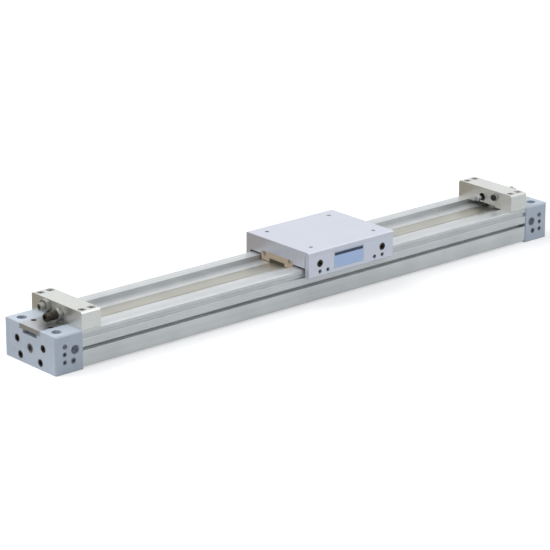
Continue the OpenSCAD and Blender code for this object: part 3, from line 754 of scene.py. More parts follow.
def add_piece(
    name: str, mesh: Mesh, node: str, shop: Workshop, replaces: bool = True, slot: str = ""
) -> None:
    """Adds a finished mesh as a piece of the object.

    Args:
        name: The piece's name.
        mesh: Its mesh, in the frame's coordinates.
        node: The frame node that it stands for or belongs beside.
        shop: Where its material comes from.
        replaces: Whether the frame node is hidden behind it.
        slot: Its material slot, or the node's own where empty.
    """
    piece = placed(name, mesh)
    slot = slot or slot_of(node)
    mesh.materials.clear()
    mesh.materials.append(shop.materials[slot])
    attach(piece, body_of(node))
    if replaces:
        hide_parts(node)


# ---- geometry node trees ----


class Growth(Graph):
    """A geometry node tree with named inputs, whose result is turned into a plain mesh."""

    def __init__(self, name: str, inputs: dict[str, float]) -> None:
        """Makes the tree and its sockets.

        Args:
            name: The tree's name.
            inputs: Start value by name, besides the places and the finish. Whole numbers make whole inputs.
        """
        super().__init__(bpy.data.node_groups.new(name, "GeometryNodeTree"))
        kinds = {label: "Int" if isinstance(value, int) else "Float" for label, value in inputs.items()}
        self.open_sockets("INPUT", {"Places": ("Geometry", None)})
        self.open_sockets("OUTPUT", {"Mesh": ("Geometry", None)})
        self.open_sockets("INPUT", {label: (kinds[label], value) for label, value in inputs.items()})
        self.open_sockets("INPUT", {"Finish": ("Material", None)})
        self.given = self.add("NodeGroupInput").outputs
        self.result = self.add("NodeGroupOutput").inputs["Mesh"]

    def close(self, shape: object) -> None:
        """Ends the tree: the shape stands at each place, instances become real, and the finish is set.

        Args:
            shape: The geometry to repeat, standing on Z.
        """
        real = self.add("GeometryNodeRealizeInstances", {0: self.planted(shape)})
        done = self.add("GeometryNodeSetMaterial", {"Geometry": real, "Material": self.given["Finish"]})
        self.feed(self.result, done)

    def half(self, name: str) -> Socket:
        """Gives half of a named input."""
        return self.times(self.given[name], 0.5)

    def pick(self, row: object, values: Sequence[object]) -> Socket:
        """Gives each row of a lathe profile its own number.

        Args:
            row: The row's number.
            values: One value or socket for each row.

        Returns:
            The picked value's socket.
        """
        node = self.add("GeometryNodeIndexSwitch", data_type="FLOAT")
        while len(node.index_switch_items) < len(values):
            node.index_switch_items.new()
        self.feed(node.inputs[0], row)
        for index, value in enumerate(values):
            self.feed(node.inputs[index + 1], value)
        return node.outputs[0]

    def profile(self, row: object, points: Profile) -> tuple[Socket, Socket]:
        """Gives the rows of a lathe shape their radius and height."""
        radii, heights = zip(*points)
        return self.pick(row, radii), self.pick(row, heights)

    def sheet(self, columns: int, rows: object) -> tuple[Node, Socket, Socket, Socket]:
        """Adds the flat grid that a lathe shape is wrapped from.

        Args:
            columns: Number of steps round the axis.
            rows: Number of rows of the profile.

        Returns:
            The grid, the share of a turn, the row's number and the column's number.
        """
        size = {"Size X": 1.0, "Size Y": 1.0, "Vertices X": columns + 1, "Vertices Y": rows}
        grid = self.add("GeometryNodeMeshGrid", size)
        place = self.split(self.add("GeometryNodeInputPosition"))
        turn = self.plus(place["X"], 0.5)
        last = self.minus(rows, 1.0)
        row = self.math("ROUND", self.times(self.plus(place["Y"], 0.5), last))
        column = self.math("ROUND", self.times(turn, float(columns)))
        return grid, turn, row, column

    def hexed(self, turn: Socket) -> Socket:
        """Gives a hexagon's radius over its half width, by the share of a turn.

        Args:
            turn: The share of a turn.

        Returns:
            The ratio's socket, 1 at the middle of each flat.
        """
        sixth = math.tau / 6
        angle = self.times(turn, math.tau)
        part = self.minus(self.math("FLOORED_MODULO", angle, sixth), sixth / 2)
        return self.math("DIVIDE", 1.0, self.math("COSINE", part))

    def wrapped(self, grid: Node, turn: Socket, radius: Socket, height: Socket) -> Node:
        """Wraps the grid round the Z axis and joins its seam and poles.

        Args:
            grid: The flat grid.
            turn: Share of a turn.
            radius: Distance from the axis.
            height: Height along the axis.

        Returns:
            The node with the closed shape.
        """
        angle = self.times(turn, math.tau)
        x = self.times(radius, self.math("COSINE", angle))
        y = self.times(radius, self.math("SINE", angle))
        place = self.add("ShaderNodeCombineXYZ", {"X": x, "Y": y, "Z": height})
        moved = self.add("GeometryNodeSetPosition", {"Geometry": grid, "Position": place})
        return self.add("GeometryNodeMergeByDistance", {"Geometry": moved, "Distance": 2 * JOIN_REACH})

    def planted(self, shape: object) -> Node:
        """Puts the shape at each given place, facing as the place says, each turned by chance.

        Args:
            shape: The geometry to repeat, standing on Z.

        Returns:
            The node with the instances.
        """
        facing = self.add("GeometryNodeInputNamedAttribute", {"Name": "facing"}, data_type="FLOAT_VECTOR")
        aligned = self.add("FunctionNodeAlignRotationToVector", {"Vector": facing}, axis="Z")
        # Inputs 2 and 3 and output 1 are the node's plain numbers.
        span = {2: 0.0, 3: math.tau, "Seed": self.given["Seed"]}
        chance = self.add("FunctionNodeRandomValue", span, data_type="FLOAT").outputs[1]
        spin = self.add("FunctionNodeAxisAngleToRotation", {"Axis": tuple(UP), "Angle": chance})
        both = {"Rotation": aligned, "Rotate By": spin}
        turned = self.add("FunctionNodeRotateRotation", both, rotation_space="LOCAL")
        stand = {"Points": self.given["Places"], "Instance": shape, "Rotation": turned}
        return self.add("GeometryNodeInstanceOnPoints", stand)

    def grown(self, name: str, places: Places, sizes: dict[str, object]) -> Mesh:
        """Runs the tree and returns its result as a plain mesh.

        Args:
            name: The mesh's name.
            places: Where each repeat stands and which way it faces.
            sizes: Values by input name.

        Returns:
            The plain mesh.
        """
        base = bpy.data.meshes.new(name)
        base.from_pydata([place for place, _ in places], [], [])
        facing = base.attributes.new("facing", "FLOAT_VECTOR", "POINT")
        facing.data.foreach_set("vector", [part for _, way in places for part in way])
        holder = placed(name, base)
        modifier = holder.modifiers.new(name, "NODES")
        modifier.node_group = self.tree
        for item in self.tree.interface.items_tree:
            if item.item_type == "SOCKET" and item.in_out == "INPUT" and item.name in sizes:
                modifier[item.identifier] = sizes[item.name]
        graph = bpy.context.evaluated_depsgraph_get()
        mesh = bpy.data.meshes.new_from_object(holder.evaluated_get(graph), depsgraph=graph)
        holder.modifiers.remove(modifier)
        bpy.data.objects.remove(holder)
        mesh.name = name
        return smooth(mesh)


class CapScrews(Growth):
    """Socket head cap screws: knurled head, chamfered rim, hexagon socket and a length of shank."""

    STEPS = 48
    ROWS = 11
    # Sizes inside the head, over half the socket's width.
    MOUTH_WIDTH = 1.24
    MOUTH_DEPTH = 0.14
    DRILL_DEPTH = 0.35

    def __init__(self) -> None:
        """Builds the tree."""
        super().__init__("Cap screws", {
            "Head width": 7.0 * MM, "Head height": 4.0 * MM, "Socket width": 3.0 * MM,
            "Socket depth": 2.0 * MM, "Knurl depth": 0.15 * MM, "Chamfer": 0.4 * MM,
            "Shank width": 4.0 * MM, "Shank length": 6.0 * MM, "Seed": 3})
        grid, turn, row, column = self.sheet(self.STEPS, self.ROWS)
        rim, shank, socket = self.half("Head width"), self.half("Shank width"), self.half("Socket width")
        tall, chamfer = self.given["Head height"], self.given["Chamfer"]
        foot = self.times(self.given["Shank length"], -1.0)
        floor = self.minus(tall, self.given["Socket depth"])
        inner = self.minus(rim, chamfer)
        radius, height = self.profile(row, [
            (0.0, foot), (shank, foot), (shank, 0.0), (inner, 0.0),
            (rim, self.times(chamfer, 0.5)), (rim, self.minus(tall, chamfer)), (inner, tall),
            (self.times(socket, self.MOUTH_WIDTH), tall),
            (socket, self.minus(tall, self.times(socket, self.MOUTH_DEPTH))), (socket, floor),
            (0.0, self.minus(floor, self.times(socket, self.DRILL_DEPTH)))])
        knurled = self.pick(row, [0.0] * 4 + [1.0] * 2 + [0.0] * 5)
        hexagonal = self.pick(row, [0.0] * 8 + [1.0] * 2 + [0.0])
        ridge = self.times(self.math("FLOORED_MODULO", column, 2.0), self.given["Knurl depth"])
        corner = self.times(self.minus(self.hexed(turn), 1.0), hexagonal)
        radius = self.minus(self.times(radius, self.plus(corner, 1.0)), self.times(ridge, knurled))
        self.close(self.wrapped(grid, turn, radius, height))


class HexNuts(Growth):
    """Hexagon nuts with both faces chamfered and a countersunk bore."""

    STEPS = 60
    ROWS = 9
    # Width of the countersink over the bore, and of the flat face over the nut.
    SINK_WIDTH = 1.07
    FACE_WIDTH = 0.96
    CHAMFER_SLOPE = 0.577

    def __init__(self) -> None:
        """Builds the tree."""
        super().__init__("Hex nuts", {"Width": 14.0 * MM, "Height": 4.0 * MM, "Bore": 10.0 * MM, "Seed": 5})
        grid, turn, row, _ = self.sheet(self.STEPS, self.ROWS)
        half, bore, tall = self.half("Width"), self.half("Bore"), self.given["Height"]
        sink = self.times(bore, self.SINK_WIDTH)
        face = self.times(half, self.FACE_WIDTH)
        corner = self.times(half, self.hexed(turn))
        drop = self.times(self.minus(corner, face), self.CHAMFER_SLOPE)
        bevel = self.minus(sink, bore)
        radius, height = self.profile(row, [
            (bore, bevel), (sink, 0.0), (face, 0.0), (corner, drop), (corner, self.minus(tall, drop)),
            (face, tall), (sink, tall), (bore, self.minus(tall, bevel)), (bore, bevel)])
        self.close(self.wrapped(grid, turn, radius, height))


class ThreadedRods(Growth):
    """Rods with a helical thread, a stepped nose with a bore, a plain end and a recess in the end face."""

    STEPS = 36
    END_ROWS = 3.0
    # Where a tooth's flank starts and ends, in pitches from the middle of its crest.
    CREST = 0.08
    ROOT = 0.42

    def __init__(self) -> None:
        """Builds the tree."""
        super().__init__("Threaded rods", {
            "Width": 10.0 * MM, "Length": 44.0 * MM, "Pitch": 1.0 * MM, "Thread depth": 0.5 * MM,
            "Thread rows": 260, "Chamfer": 0.6 * MM, "Nose length": 0.0, "Nose drop": 0.0,
            "Plain end": 0.0, "Bore width": 3.0 * MM, "Bore depth": 5.0 * MM,
            "Recess width": 4.0 * MM, "Recess depth": 3.0 * MM, "Hexagon": 1.0, "Seed": 7})
        rows, long = self.given["Thread rows"], self.given["Length"]
        grid, turn, row, _ = self.sheet(self.STEPS, self.plus(rows, 2 * self.END_ROWS))
        rim, bore, recess = self.half("Width"), self.half("Bore width"), self.half("Recess width")
        share = self.math("DIVIDE", self.minus(row, self.END_ROWS), self.minus(rows, 1.0), clamp=True)
        along = self.times(share, long)
        left = self.minus(long, along)
        outer = self._threaded(turn, rim, along, left)
        step = self.plus(
            self.least(row, self.END_ROWS),
            self.most(self.minus(row, self.plus(rows, self.END_ROWS - 1.0)), 0.0))
        bottom = self.given["Bore depth"]
        floor = self.minus(long, self.given["Recess depth"])
        corner = self.times(self.minus(self.hexed(turn), 1.0), self.given["Hexagon"])
        flat = self.times(recess, self.plus(corner, 1.0))
        radius, height = self.profile(step, [
            (0.0, bottom), (bore, bottom), (bore, 0.0), (outer, along),
            (flat, long), (flat, floor), (0.0, floor)])
        self.close(self.wrapped(grid, turn, radius, height))

    def _threaded(self, turn: Socket, rim: Socket, along: Socket, left: Socket) -> Socket:
        """Adds the outer radius: the thread, cut down by the plain end, the end chamfers and the nose.

        Args:
            turn: Share of a turn.
            rim: Radius of the rod.
            along: Distance from the foot.
            left: Distance from the end face.

        Returns:
            The radius's socket.
        """
        wave = self.minus(self.math("DIVIDE", along, self.given["Pitch"]), turn)
        tooth = self.spread(self.math("PINGPONG", wave, 0.5), self.CREST, self.ROOT)
        cut = self.math("GREATER_THAN", left, self.given["Plain end"])
        thread = self.minus(rim, self.times(self.times(tooth, self.given["Thread depth"]), cut))
        edge = self.plus(self.minus(rim, self.given["Chamfer"]), self.least(along, left))
        nose = self.times(self.given["Nose drop"], self.math("LESS_THAN", along, self.given["Nose length"]))
        return self.least(self.least(thread, edge), self.minus(rim, nose))


class ThreadCoils(Growth):
    """The ridge of an inside thread, wound along the wall of a hole."""

    STEPS = 32
    RIDGE_SIDES = 4

    def __init__(self) -> None:
        """Builds the tree."""
        super().__init__("Thread coils", {
            "Width": 8.0 * MM, "Pitch": 0.8 * MM, "Turns": 6.0, "Ridge": 0.4 * MM, "Seed": 9})
        half, turns = self.half("Width"), self.given["Turns"]
        path = self.add("GeometryNodeCurveSpiral", {
            "Resolution": self.STEPS, "Rotations": turns, "Start Radius": half, "End Radius": half,
            "Height": self.times(self.times(self.given["Pitch"], turns), -1.0)})
        section = {"Resolution": self.RIDGE_SIDES, "Radius": self.given["Ridge"]}
        tooth = self.add("GeometryNodeCurvePrimitiveCircle", section, mode="RADIUS")
        ridge = {"Curve": path, "Profile Curve": tooth, "Fill Caps": True}
        self.close(self.add("GeometryNodeCurveToMesh", ridge))


# ---- sub-assemblies ----


@dataclass
class Fasteners:
    """Every socket head screw and hexagon nut, grown at the frame's own places.

    Attributes:
        shop: Where the materials come from.
        head_ratio: Width of a head over its height.
        shank_share: Width of a shank over that of its head.
        socket_share: Width of a socket over that of its head.
        socket_depth: Depth of a socket over the height of its head.
        chamfer_share: Chamfer of a head over its height.
        knurl_share: Depth of the knurl over the width of a head.
        first_screw_seed: Seed of the first node's chance turns, which the next nodes count on from.
        screw_ways: The way each node's heads face, or None where they face outwards along X.
        screws: The tree that grows screws.
        nuts: The tree that grows nuts.
    """

    shop: Workshop
    head_ratio: float = 1.75
    shank_share: float = 0.56
    socket_share: float = 0.47
    socket_depth: float = 0.55
    chamfer_share: float = 0.12
    knurl_share: float = 0.02
    first_screw_seed: int = 11
    screw_ways: dict[str, Vector | None] = field(default_factory=lambda: {
        "cover_screws": None, "clamp_screws": UP, "block_screws": UP, "arm_screws": FRONTWARD})
    screws: Growth = field(default_factory=CapScrews)
    nuts: Growth = field(default_factory=HexNuts)

    def screw_set(self, node: str, facing: Vector | None, seed: int) -> int:
        """Replaces the screws of a node, which are all of one size.

        Args:
            node: The frame node.
            facing: The way the heads face, or None where they face outwards along X.
            seed: Seed of the chance turns.

        Returns:
            The number of screws.
        """
        places, width, height, length = [], 0.0, 0.0, 0.0
        for low, high in solids(node):
            middle = (low + high) / 2
            way = outward(middle) if facing is None else facing
            axis = max(range(3), key=lambda k: abs(way[k]))
            width = max(high[k] - low[k] for k in range(3) if k != axis)
            height = width / self.head_ratio
            length = high[axis] - low[axis]
            places.append((middle + way * (length / 2 - height), way))
        mesh = self.screws.grown(node + "_heads", places, {
            "Head width": width, "Head height": height, "Socket width": width * self.socket_share,
            "Socket depth": height * self.socket_depth, "Knurl depth": width * self.knurl_share,
            "Chamfer": height * self.chamfer_share, "Shank width": width * self.shank_share,
            "Shank length": length - height, "Seed": seed, "Finish": self.shop.materials[slot_of(node)]})
        add_piece(node + "_knurled", mesh, node, self.shop)
        return len(places)

    def nut_set(self, node: str, bore: float, seed: int) -> None:
        """Replaces the nuts of a node, which lie with their axis along X.

        Args:
            node: The frame node.
            bore: Diameter of the bore.
            seed: Seed of the chance turns.
        """
        boxes = solids(node)
        low, high = boxes[-1]
        mesh = self.nuts.grown(node + "_chamfered", [standing(*box) for box in boxes], {
            "Width": min(high.y - low.y, high.z - low.z), "Height": high.x - low.x, "Bore": bore,
            "Seed": seed, "Finish": self.shop.materials[slot_of(node)]})
        add_piece(node + "_turned", mesh, node, self.shop)

    def build(self) -> None:
        """Builds the screws. The stop units ask for their nuts."""
        for seed, (node, facing) in enumerate(self.screw_ways.items(), start=self.first_screw_seed):
            LOG.info("%s: %d screws", node, self.screw_set(node, facing, seed))


@dataclass
class StopUnits:
    """Threaded shock absorbers and stroke adjusting bolts of both ends, with their nuts.

    Attributes:
        shop: Where the materials come from.
        fasteners: Where the nuts come from.
        absorber: Sizes of a shock absorber's body, by input name.
        bolt: Sizes of an adjusting bolt, by input name.
        absorber_slack: How far the absorber nuts' bore lies inside the rod's diameter.
        bolt_slack: How far the bolt nuts' bore lies inside the rod's diameter.
        absorber_nut_seed: Seed of the absorber nuts' chance turns.
        bolt_nut_seed: Seed of the bolt nuts' chance turns.
        rods: The tree that grows threaded bodies.
    """

    shop: Workshop
    fasteners: Fasteners
    absorber: dict[str, object] = field(default_factory=lambda: {
        "Pitch": 1.0 * MM, "Thread depth": 0.45 * MM, "Thread rows": 230,
        "Nose length": 1.5 * MM, "Nose drop": 1.1 * MM, "Plain end": 5.0 * MM, "Bore width": 3.3 * MM,
        "Bore depth": 26.0 * MM, "Recess width": 4.0 * MM, "Recess depth": 1.5 * MM, "Hexagon": 0.0})
    bolt: dict[str, object] = field(default_factory=lambda: {
        "Pitch": 1.25 * MM, "Thread depth": 0.6 * MM, "Thread rows": 220, "Chamfer": 0.8 * MM,
        "Bore width": 2.5 * MM, "Bore depth": 5.0 * MM, "Recess width": 4.0 * MM, "Recess depth": 3.0 * MM})
    absorber_slack: float = 0.8 * MM
    bolt_slack: float = 1.0 * MM
    absorber_nut_seed: int = 21
    bolt_nut_seed: int = 22
    rods: Growth = field(default_factory=ThreadedRods)

    def rod(self, node: str, sizes: dict[str, object]) -> float:
        """Replaces a threaded body, from its inner face outwards.

        Args:
            node: The frame node.
            sizes: Sizes of the thread, nose, bore and recess, by input name.

        Returns:
            The rod's diameter.
        """
        low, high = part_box(node)
        width = high.z - low.z
        mesh = self.rods.grown(node + "_thread", [(Vector(), UP)], {
            **sizes, "Width": width, "Length": high.x - low.x, "Finish": self.shop.materials[slot_of(node)]})
        add_piece(node + "_threaded", stood(mesh, *standing(low, high)), node, self.shop)
        return width

    def build(self) -> None:
        """Builds both units."""
        for side in ("left", "right"):
            absorber = self.rod(f"shock_absorber_{side}", self.absorber)
            bolt = self.rod(f"adjusting_bolt_{side}", self.bolt)
        self.fasteners.nut_set("absorber_nuts", absorber - self.absorber_slack, self.absorber_nut_seed)
        self.fasteners.nut_set("bolt_nuts", bolt - self.bolt_slack, self.bolt_nut_seed)
        LOG.info("stop units: 2 absorbers of %.1f mm, 2 bolts of %.1f mm, 4 nuts", absorber / MM, bolt / MM)


@dataclass
class Bands:
    """The dust band: a strip that lies in the channel, and the piece that the table lifts.

    Attributes:
        shop: Where the materials come from.
        lift_reach: How far the lifted piece reaches to each side of the table's middle.
        thickness: Thickness of the strip.
        rounding: Radius of the strip's long edges.
        cut_reach: How near to the cut a corner counts as on it.
    """

    shop: Workshop
    lift_reach: float = 44.0 * MM
    thickness: float = 0.3 * MM
    rounding: float = 0.09 * MM
    cut_reach: float = 1e-7

    def build(self) -> None:
        """Builds the strip on the tube and the lifted piece on the table."""
        low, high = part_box("dust_band")
        strip = strip_mesh("dust_strip", low, Vector((high.x, high.y, low.z + self.thickness)), self.rounding)
        add_piece("dust_band_strip", strip, "dust_band", self.shop)
        table_low, table_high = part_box("table")
        middle = (table_low.x + table_high.x) / 2
        work = merged("dust_band")
        for side in (-1.0, 1.0):
            cut = bmesh.ops.bisect_plane(
                work, geom=work.verts[:] + work.edges[:] + work.faces[:], dist=self.cut_reach,
                plane_co=(middle + side * self.lift_reach, 0, 0), plane_no=(side, 0, 0), clear_outer=True)
            rim = [e for e in cut["geom_cut"] if isinstance(e, bmesh.types.BMEdge)]
            bmesh.ops.contextual_create(work, geom=rim)
        bmesh.ops.recalc_face_normals(work, faces=work.faces)
        lift = finished("dust_lift", work)
        add_piece("dust_band_lift", lift, "table", self.shop, replaces=False, slot="stainless_band")
        LOG.info("dust band: strip of %.1f mm and a lifted piece of %.1f mm",
                 (high.x - low.x) / MM, 2 * self.lift_reach / MM)


@dataclass
class Threads:
    """Inside threads of the open air ports and of the table's tapped holes.

    Attributes:
        shop: Where the material comes from.
        port_pitch: Pitch of the ports' thread.
        hole_pitch: Pitch of the holes' thread.
        hole_depth: Length of thread in the table.
        ridge_share: Size of the ridge over the pitch.
        port_seeds: Seed of each port's chance turn.
        hole_seed: Seed of the holes' chance turns.
        coils: The tree that winds the ridges.
    """

    shop: Workshop
    port_pitch: float = 0.91 * MM
    hole_pitch: float = 0.8 * MM
    hole_depth: float = 7.0 * MM
    ridge_share: float = 0.32
    port_seeds: dict[str, int] = field(default_factory=lambda: {"left": 31, "right": 32})
    hole_seed: int = 33
    coils: Growth = field(default_factory=ThreadCoils)

    def wind(self, node: str, mouths: Places, radius: float, depth: float, pitch: float, seed: int) -> None:
        """Winds a ridge down the wall of each hole of one node.

        Args:
            node: The frame node that is tapped.
            mouths: The middle of each hole's mouth, and the way it opens.
            radius: Radius of the holes.
            depth: Length of thread.
            pitch: Pitch of the thread, whose first turn starts one pitch below the mouth.
            seed: Seed of the chance turns.
        """
        starts = [(mouth - way * pitch, way) for mouth, way in mouths]
        mesh = self.coils.grown(node + "_coils", starts, {
            "Width": 2 * radius, "Pitch": pitch, "Turns": depth / pitch, "Ridge": pitch * self.ridge_share,
            "Seed": seed, "Finish": self.shop.materials["machined_aluminium"]})
        add_piece(node + "_inside_thread", mesh, node, self.shop, replaces=False, slot="machined_aluminium")

    def build(self) -> None:
        """Builds the ridges, one piece for each tapped node."""
        mounts = {mount["name"]: mount for mount in frame["record"]["mounts"]}
        for side, seed in self.port_seeds.items():
            port = mounts[f"port_{side}"]
            depth = port["dims"]["length_mm"] * MM - 2 * self.port_pitch
            mouths = [(Vector(port["pos_m"]), Vector(port["axis"]))]
            self.wind(f"head_cover_{side}", mouths, port["dims"]["r_mm"] * MM, depth, self.port_pitch, seed)
        holes = mounts["table_holes"]
        sizes = holes["dims"]
        middle, way = Vector(holes["pos_m"]), Vector(holes["axis"])
        long, wide = sizes["spacing_x_mm"], sizes["spacing_y_mm"]
        corners = [(x * long, y * wide, 0.0) for x in (-1, 1) for y in (-1, 1)]
        mouths = [(middle + Vector(corner) * (MM / 2), way) for corner in corners]
        self.wind("table", mouths, sizes["hole_r_mm"] * MM, self.hole_depth, self.hole_pitch, self.hole_seed)
        LOG.info("inside threads: 2 ports, %d table holes", len(mouths))


# ---- studio ----


@dataclass(frozen=True)
class Lamp:
    """A square soft lamp.

    Attributes:
        name: The lamp's name.
        place: Where it hangs.
        width: Its width.
        power: Its power in watts.
        colour: Its colour.
        mirrored: Whether it shows in glossy surfaces.
    """

    name: str
    place: Point
    width: float
    power: float
    colour: Colour
    mirrored: bool = False


@dataclass
class Studio:
    """Pale floor, soft lamps, world and camera.

    Attributes:
        azimuth: The camera's angle round the object, in degrees from the front towards -X.
        elevation: Its angle above the floor.
        distance: How far it stands from target.
        target: The point it looks at.
        lens: Its focal length in millimetres.
        film: Its sensor's width in millimetres.
        ambient: Strength of the room's soft light.
        floor_half: Half the floor's width.
        near_glow: The floor's own light near the object, where the camera sees it.
        far_glow: The same far away.
        glow_fade: Distances from the middle between which the glow grows.
        far_sheen: Painted sheen: light that the front floor gives off to glossy rays alone, away from the
            object, a painted reflection on metal.
        sheen: The same painted light close to the object.
        sheen_fade: Depths between which it grows from far_sheen to sheen, along Y from front to back.
        front_fade: Depths between which it ends, under the object.
        tone_fade: Depths between which the floor tone that glossy rays see turns from front_floor to
            painted_rear_reflection.
        front_floor: Floor tone that glossy rays see before the object.
        painted_rear_reflection: A painted dark warm reflection: the floor tone that glossy rays alone see
            behind the object, which shades metal faces towards -X.
        paper: The floor's two tones.
        room: The room's colour.
        painted_dark_reflection: A painted dark warm reflection: the room colour that glossy rays alone see
            low down towards -X, which shades metal faces there.
        horizon_fade: Heights between which that painted reflection fades upwards.
        high_dark: Share of it that is left above them.
        side_fade: Directions along X between which it ends.
        lamps: The soft lamps.
    """

    azimuth: float = 40.78
    elevation: float = 18.61
    distance: float = 2.5972
    target: Vector = field(default_factory=lambda: Vector((-0.02243, 0.0, 0.02186)))
    lens: float = 178.2
    film: float = 36.0
    ambient: float = 0.42
    floor_half: float = 30.0
    near_glow: float = 0.5
    far_glow: float = 0.9
    glow_fade: Span = (0.6, 2.4)
    # Painted sheen that glossy rays alone see on the front floor.
    far_sheen: float = 0.08
    sheen: float = 0.3
    sheen_fade: Span = (-0.11, -0.05)
    front_fade: Span = (-0.03, 0.05)
    tone_fade: Span = (-0.04, 0.05)
    front_floor: Linear = (0.55, 0.58, 0.60, 1.0)
    # Painted dark warm reflection, seen by glossy rays alone, which shades metal faces towards -X.
    painted_rear_reflection: Linear = (0.22, 0.19, 0.15, 1.0)
    paper: tuple[Linear, Linear] = ((0.54, 0.545, 0.55, 1.0), (0.56, 0.565, 0.57, 1.0))
    room: Linear = (0.95, 0.97, 1.0, 1.0)
    # Painted dark warm reflection, which glossy rays alone see.
    painted_dark_reflection: Linear = (0.30, 0.255, 0.20, 1.0)
    horizon_fade: Span = (0.02, 0.3)
    high_dark: float = 0.15
    side_fade: Span = (-0.7, -0.1)
    lamps: tuple[Lamp, ...] = (
        Lamp("key", (0.5, -0.7, 2.3), 2.2, 12.0, (1.0, 0.99, 0.97), mirrored=True),
        Lamp("top", (-0.55, 0.7, 1.3), 1.4, 23.0, (1.0, 0.99, 0.98)),
        Lamp("front", (1.6, -1.2, 0.7), 1.4, 10.0, (0.87, 0.93, 1.0)),
        Lamp("side", (-2.2, 0.5, 0.9), 1.4, 9.5, (0.92, 0.94, 0.95)))

    def floor(self) -> None:
        """Adds the floor, which shows white to the camera but keeps a soft shadow; glossy rays see a painted
        reflection on it, dark and warm behind the object, with a painted sheen before it.
        """
        half = self.floor_half
        corners = [(-half, -half, 0.0), (half, -half, 0.0), (half, half, 0.0), (-half, half, 0.0)]
        mesh = bpy.data.meshes.new("floor")
        mesh.from_pydata(corners, [], [(0, 1, 2, 3)])
        floor = placed("floor", mesh)
        material = bpy.data.materials.new("floor")
        g = emptied(material)
        ray = g.add("ShaderNodeLightPath").outputs
        mirror = ray["Is Glossy Ray"]
        seen = g.most(ray["Is Camera Ray"], ray["Is Transmission Ray"])
        place = g.add("ShaderNodeTexCoord").outputs["Object"]
        depth = g.split(place)["Y"]
        paper = g.mix(g.noise(place, 3.0), *self.paper)
        # Glossy rays see the floor in a painted reflection tone, dark and warm behind the object.
        painted_mirror_tone = g.mix(g.spread(depth, *self.tone_fade), self.front_floor, self.painted_rear_reflection)
        diffuse = g.add("ShaderNodeBsdfDiffuse", {"Color": g.mix(mirror, paper, painted_mirror_tone)})
        reach = g.vector("LENGTH", place)["Value"]
        backdrop = g.times(seen, g.spread(reach, *self.glow_fade, self.near_glow, self.far_glow))
        # Painted sheen: the front floor gives off light to glossy rays alone, most close to the object, a
        # painted reflection on metal faces.
        front = g.times(mirror, g.spread(depth, *self.front_fade, 1.0, 0.0))
        mirrored = g.times(front, g.spread(depth, *self.sheen_fade, self.far_sheen, self.sheen))
        light = {"Color": WHITE, "Strength": g.most(backdrop, mirrored)}
        both = {0: diffuse, 1: g.add("ShaderNodeEmission", light)}
        g.feed(g.add("ShaderNodeOutputMaterial").inputs[0], g.add("ShaderNodeAddShader", both))
        mesh.materials.append(material)

    def world(self) -> None:
        """Sets the world: white where it is seen, else a dimmer room, with a painted dark warm reflection low
        towards -X that glossy rays alone see.
        """
        world = bpy.data.worlds.new("studio")
        bpy.context.scene.world = world
        g = emptied(world)
        ray = g.add("ShaderNodeLightPath").outputs
        mirror = ray["Is Glossy Ray"]
        seen = g.most(ray["Is Camera Ray"], ray["Is Transmission Ray"])
        way = g.split(g.add("ShaderNodeTexCoord").outputs["Generated"])
        # Painted reflection: glossy rays alone see the room dark and warm low down towards -X.
        low = g.times(g.spread(way["Z"], *self.horizon_fade, 1.0, self.high_dark), mirror)
        painted_reflection_share = g.times(g.spread(way["X"], *self.side_fade, 1.0, 0.0), low)
        colour = g.mix(seen, g.mix(painted_reflection_share, self.room, self.painted_dark_reflection), WHITE)
        strength = g.most(g.most(seen, mirror), self.ambient)
        background = g.add("ShaderNodeBackground", {"Color": colour, "Strength": strength})
        g.feed(g.add("ShaderNodeOutputWorld").inputs[0], background)

    def hang(self, lamp: Lamp) -> None:
        """Hangs a lamp that looks at the object.

        Args:
            lamp: The lamp.
        """
        light = bpy.data.lights.new(lamp.name, "AREA")
        light.shape = "SQUARE"
        light.size = lamp.width
        light.energy = lamp.power
        light.color = lamp.colour
        item = placed(lamp.name, light)
        item.location = lamp.place
        item.rotation_euler = (self.target - Vector(lamp.place)).to_track_quat("-Z", "Y").to_euler()
        item.visible_camera = False
        item.visible_glossy = lamp.mirrored

    def camera(self) -> None:
        """Adds the camera at its viewing angle."""
        a, e = math.radians(self.azimuth), math.radians(self.elevation)
        back = Vector((-math.sin(a) * math.cos(e), -math.cos(a) * math.cos(e), math.sin(e)))
        data = bpy.data.cameras.new("camera")
        data.lens = self.lens
        data.sensor_width = self.film
        camera = placed("camera", data)
        camera.location = self.target + back * self.distance
        camera.rotation_euler = (-back).to_track_quat("-Z", "Y").to_euler()
        bpy.context.scene.camera = camera

    def build(self) -> None:
        """Builds the studio."""
        self.floor()
        self.world()
        for lamp in self.lamps:
            self.hang(lamp)
        self.camera()
        bpy.context.scene.view_settings.view_transform = "Standard"
        LOG.info("studio: floor, world, %d lamps and camera", len(self.lamps))


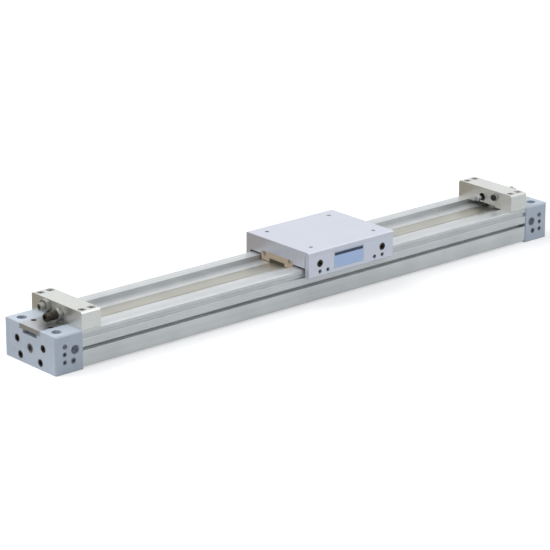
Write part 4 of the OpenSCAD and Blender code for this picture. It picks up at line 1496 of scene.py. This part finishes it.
FINISHES = (
    Finish("anodised_tube", (0.85, 0.86, 0.855), (0.72, 0.73, 0.735), Grain.DRAWN,
           metallic=0.62, roughness=0.30, relief=0.016),
    Finish("anodised_table", (0.835, 0.845, 0.885), (0.805, 0.815, 0.86), Grain.BLASTED,
           metallic=0.75, roughness=0.38, relief=0.006),
    Finish("anodised_block", (0.87, 0.87, 0.85), (0.81, 0.81, 0.79), Grain.BLASTED,
           metallic=0.85, roughness=0.36, relief=0.008),
    Finish("cover_paint", (0.70, 0.74, 0.79), (0.655, 0.70, 0.75), Grain.PAINTED,
           metallic=0.1, roughness=0.45, relief=0.02, coat=0.15, edge=0.5),
    Finish("machined_aluminium", (0.80, 0.81, 0.82), (0.70, 0.71, 0.73), Grain.BRUSHED,
           metallic=0.85, roughness=0.3, relief=0.006),
    Finish("cast_yoke", (0.60, 0.61, 0.63), (0.50, 0.51, 0.53), Grain.PAINTED,
           metallic=0.7, roughness=0.5, relief=0.04),
    Finish("zinc_screw", (0.74, 0.74, 0.72), (0.60, 0.60, 0.58), Grain.TURNED,
           metallic=0.9, roughness=0.28, relief=0.004, edge=0.12),
    Finish("zinc_plug", (0.58, 0.59, 0.61), (0.46, 0.47, 0.50), Grain.TURNED,
           metallic=0.9, roughness=0.35, relief=0.004, edge=0.15, axis=(0.0, 1.0, 0.0)),
    Finish("stainless_band", (0.76, 0.75, 0.71), (0.66, 0.65, 0.61), Grain.BRUSHED,
           metallic=0.85, roughness=0.33, relief=0.004, edge=0.08),
    Finish("belt_polyurethane", (0.14, 0.14, 0.14), (0.10, 0.10, 0.10), Grain.MOULDED, roughness=0.5),
    Finish("black_resin", (0.08, 0.08, 0.085), (0.05, 0.05, 0.055), Grain.MOULDED, roughness=0.45, rub_and_highlight=0.15),
    Finish("white_resin", (0.70, 0.63, 0.55), (0.64, 0.57, 0.49), Grain.MOULDED, roughness=0.45, rub_and_highlight=0.1),
    Finish("bearing_resin", (0.22, 0.22, 0.23), (0.17, 0.17, 0.18), Grain.MOULDED, roughness=0.5, rub_and_highlight=0.1),
    Finish("rubber", (0.27, 0.26, 0.21), (0.20, 0.195, 0.16), Grain.MOULDED, roughness=0.65, rub_and_highlight=0.0),
    Finish("black_oxide", (0.31, 0.28, 0.235), (0.21, 0.185, 0.15), Grain.TURNED,
           metallic=0.85, roughness=0.36, relief=0.004, edge=0.15, rub_and_highlight=0.35),
    Finish("polished_rod", (0.86, 0.86, 0.87), (0.80, 0.80, 0.82), Grain.TURNED,
           metallic=1.0, roughness=0.12, relief=0.002, edge=0.1),
    Finish("magnet_ferrite", (0.16, 0.16, 0.17), (0.12, 0.12, 0.13), Grain.MOULDED, roughness=0.6),
)


def plate_finish() -> PlateFinish:
    """Sizes the plate's finish to the plate.

    Returns:
        The finish.
    """
    low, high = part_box("name_plate")
    return PlateFinish(
        "blue_plate", (0.71, 0.80, 0.95), (0.65, 0.75, 0.91), Grain.MOULDED,
        roughness=0.3, relief=0.002, edge=0.1, rub_and_highlight=0.2, low=low.z, high=high.z, left=low.x, right=high.x)


def main() -> None:
    """Builds and dresses the whole cylinder, then the studio."""
    logging.basicConfig(level=logging.INFO, format="%(name)s: %(message)s")
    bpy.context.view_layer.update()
    shop = Workshop(FINISHES + (plate_finish(),))
    LOG.info("frame: %d nodes dressed", shop.dress_frame())
    fasteners = Fasteners(shop)
    fasteners.build()
    StopUnits(shop, fasteners).build()
    Bands(shop).build()
    Threads(shop).build()
    Studio().build()


if __name__ == "__main__":
    main()
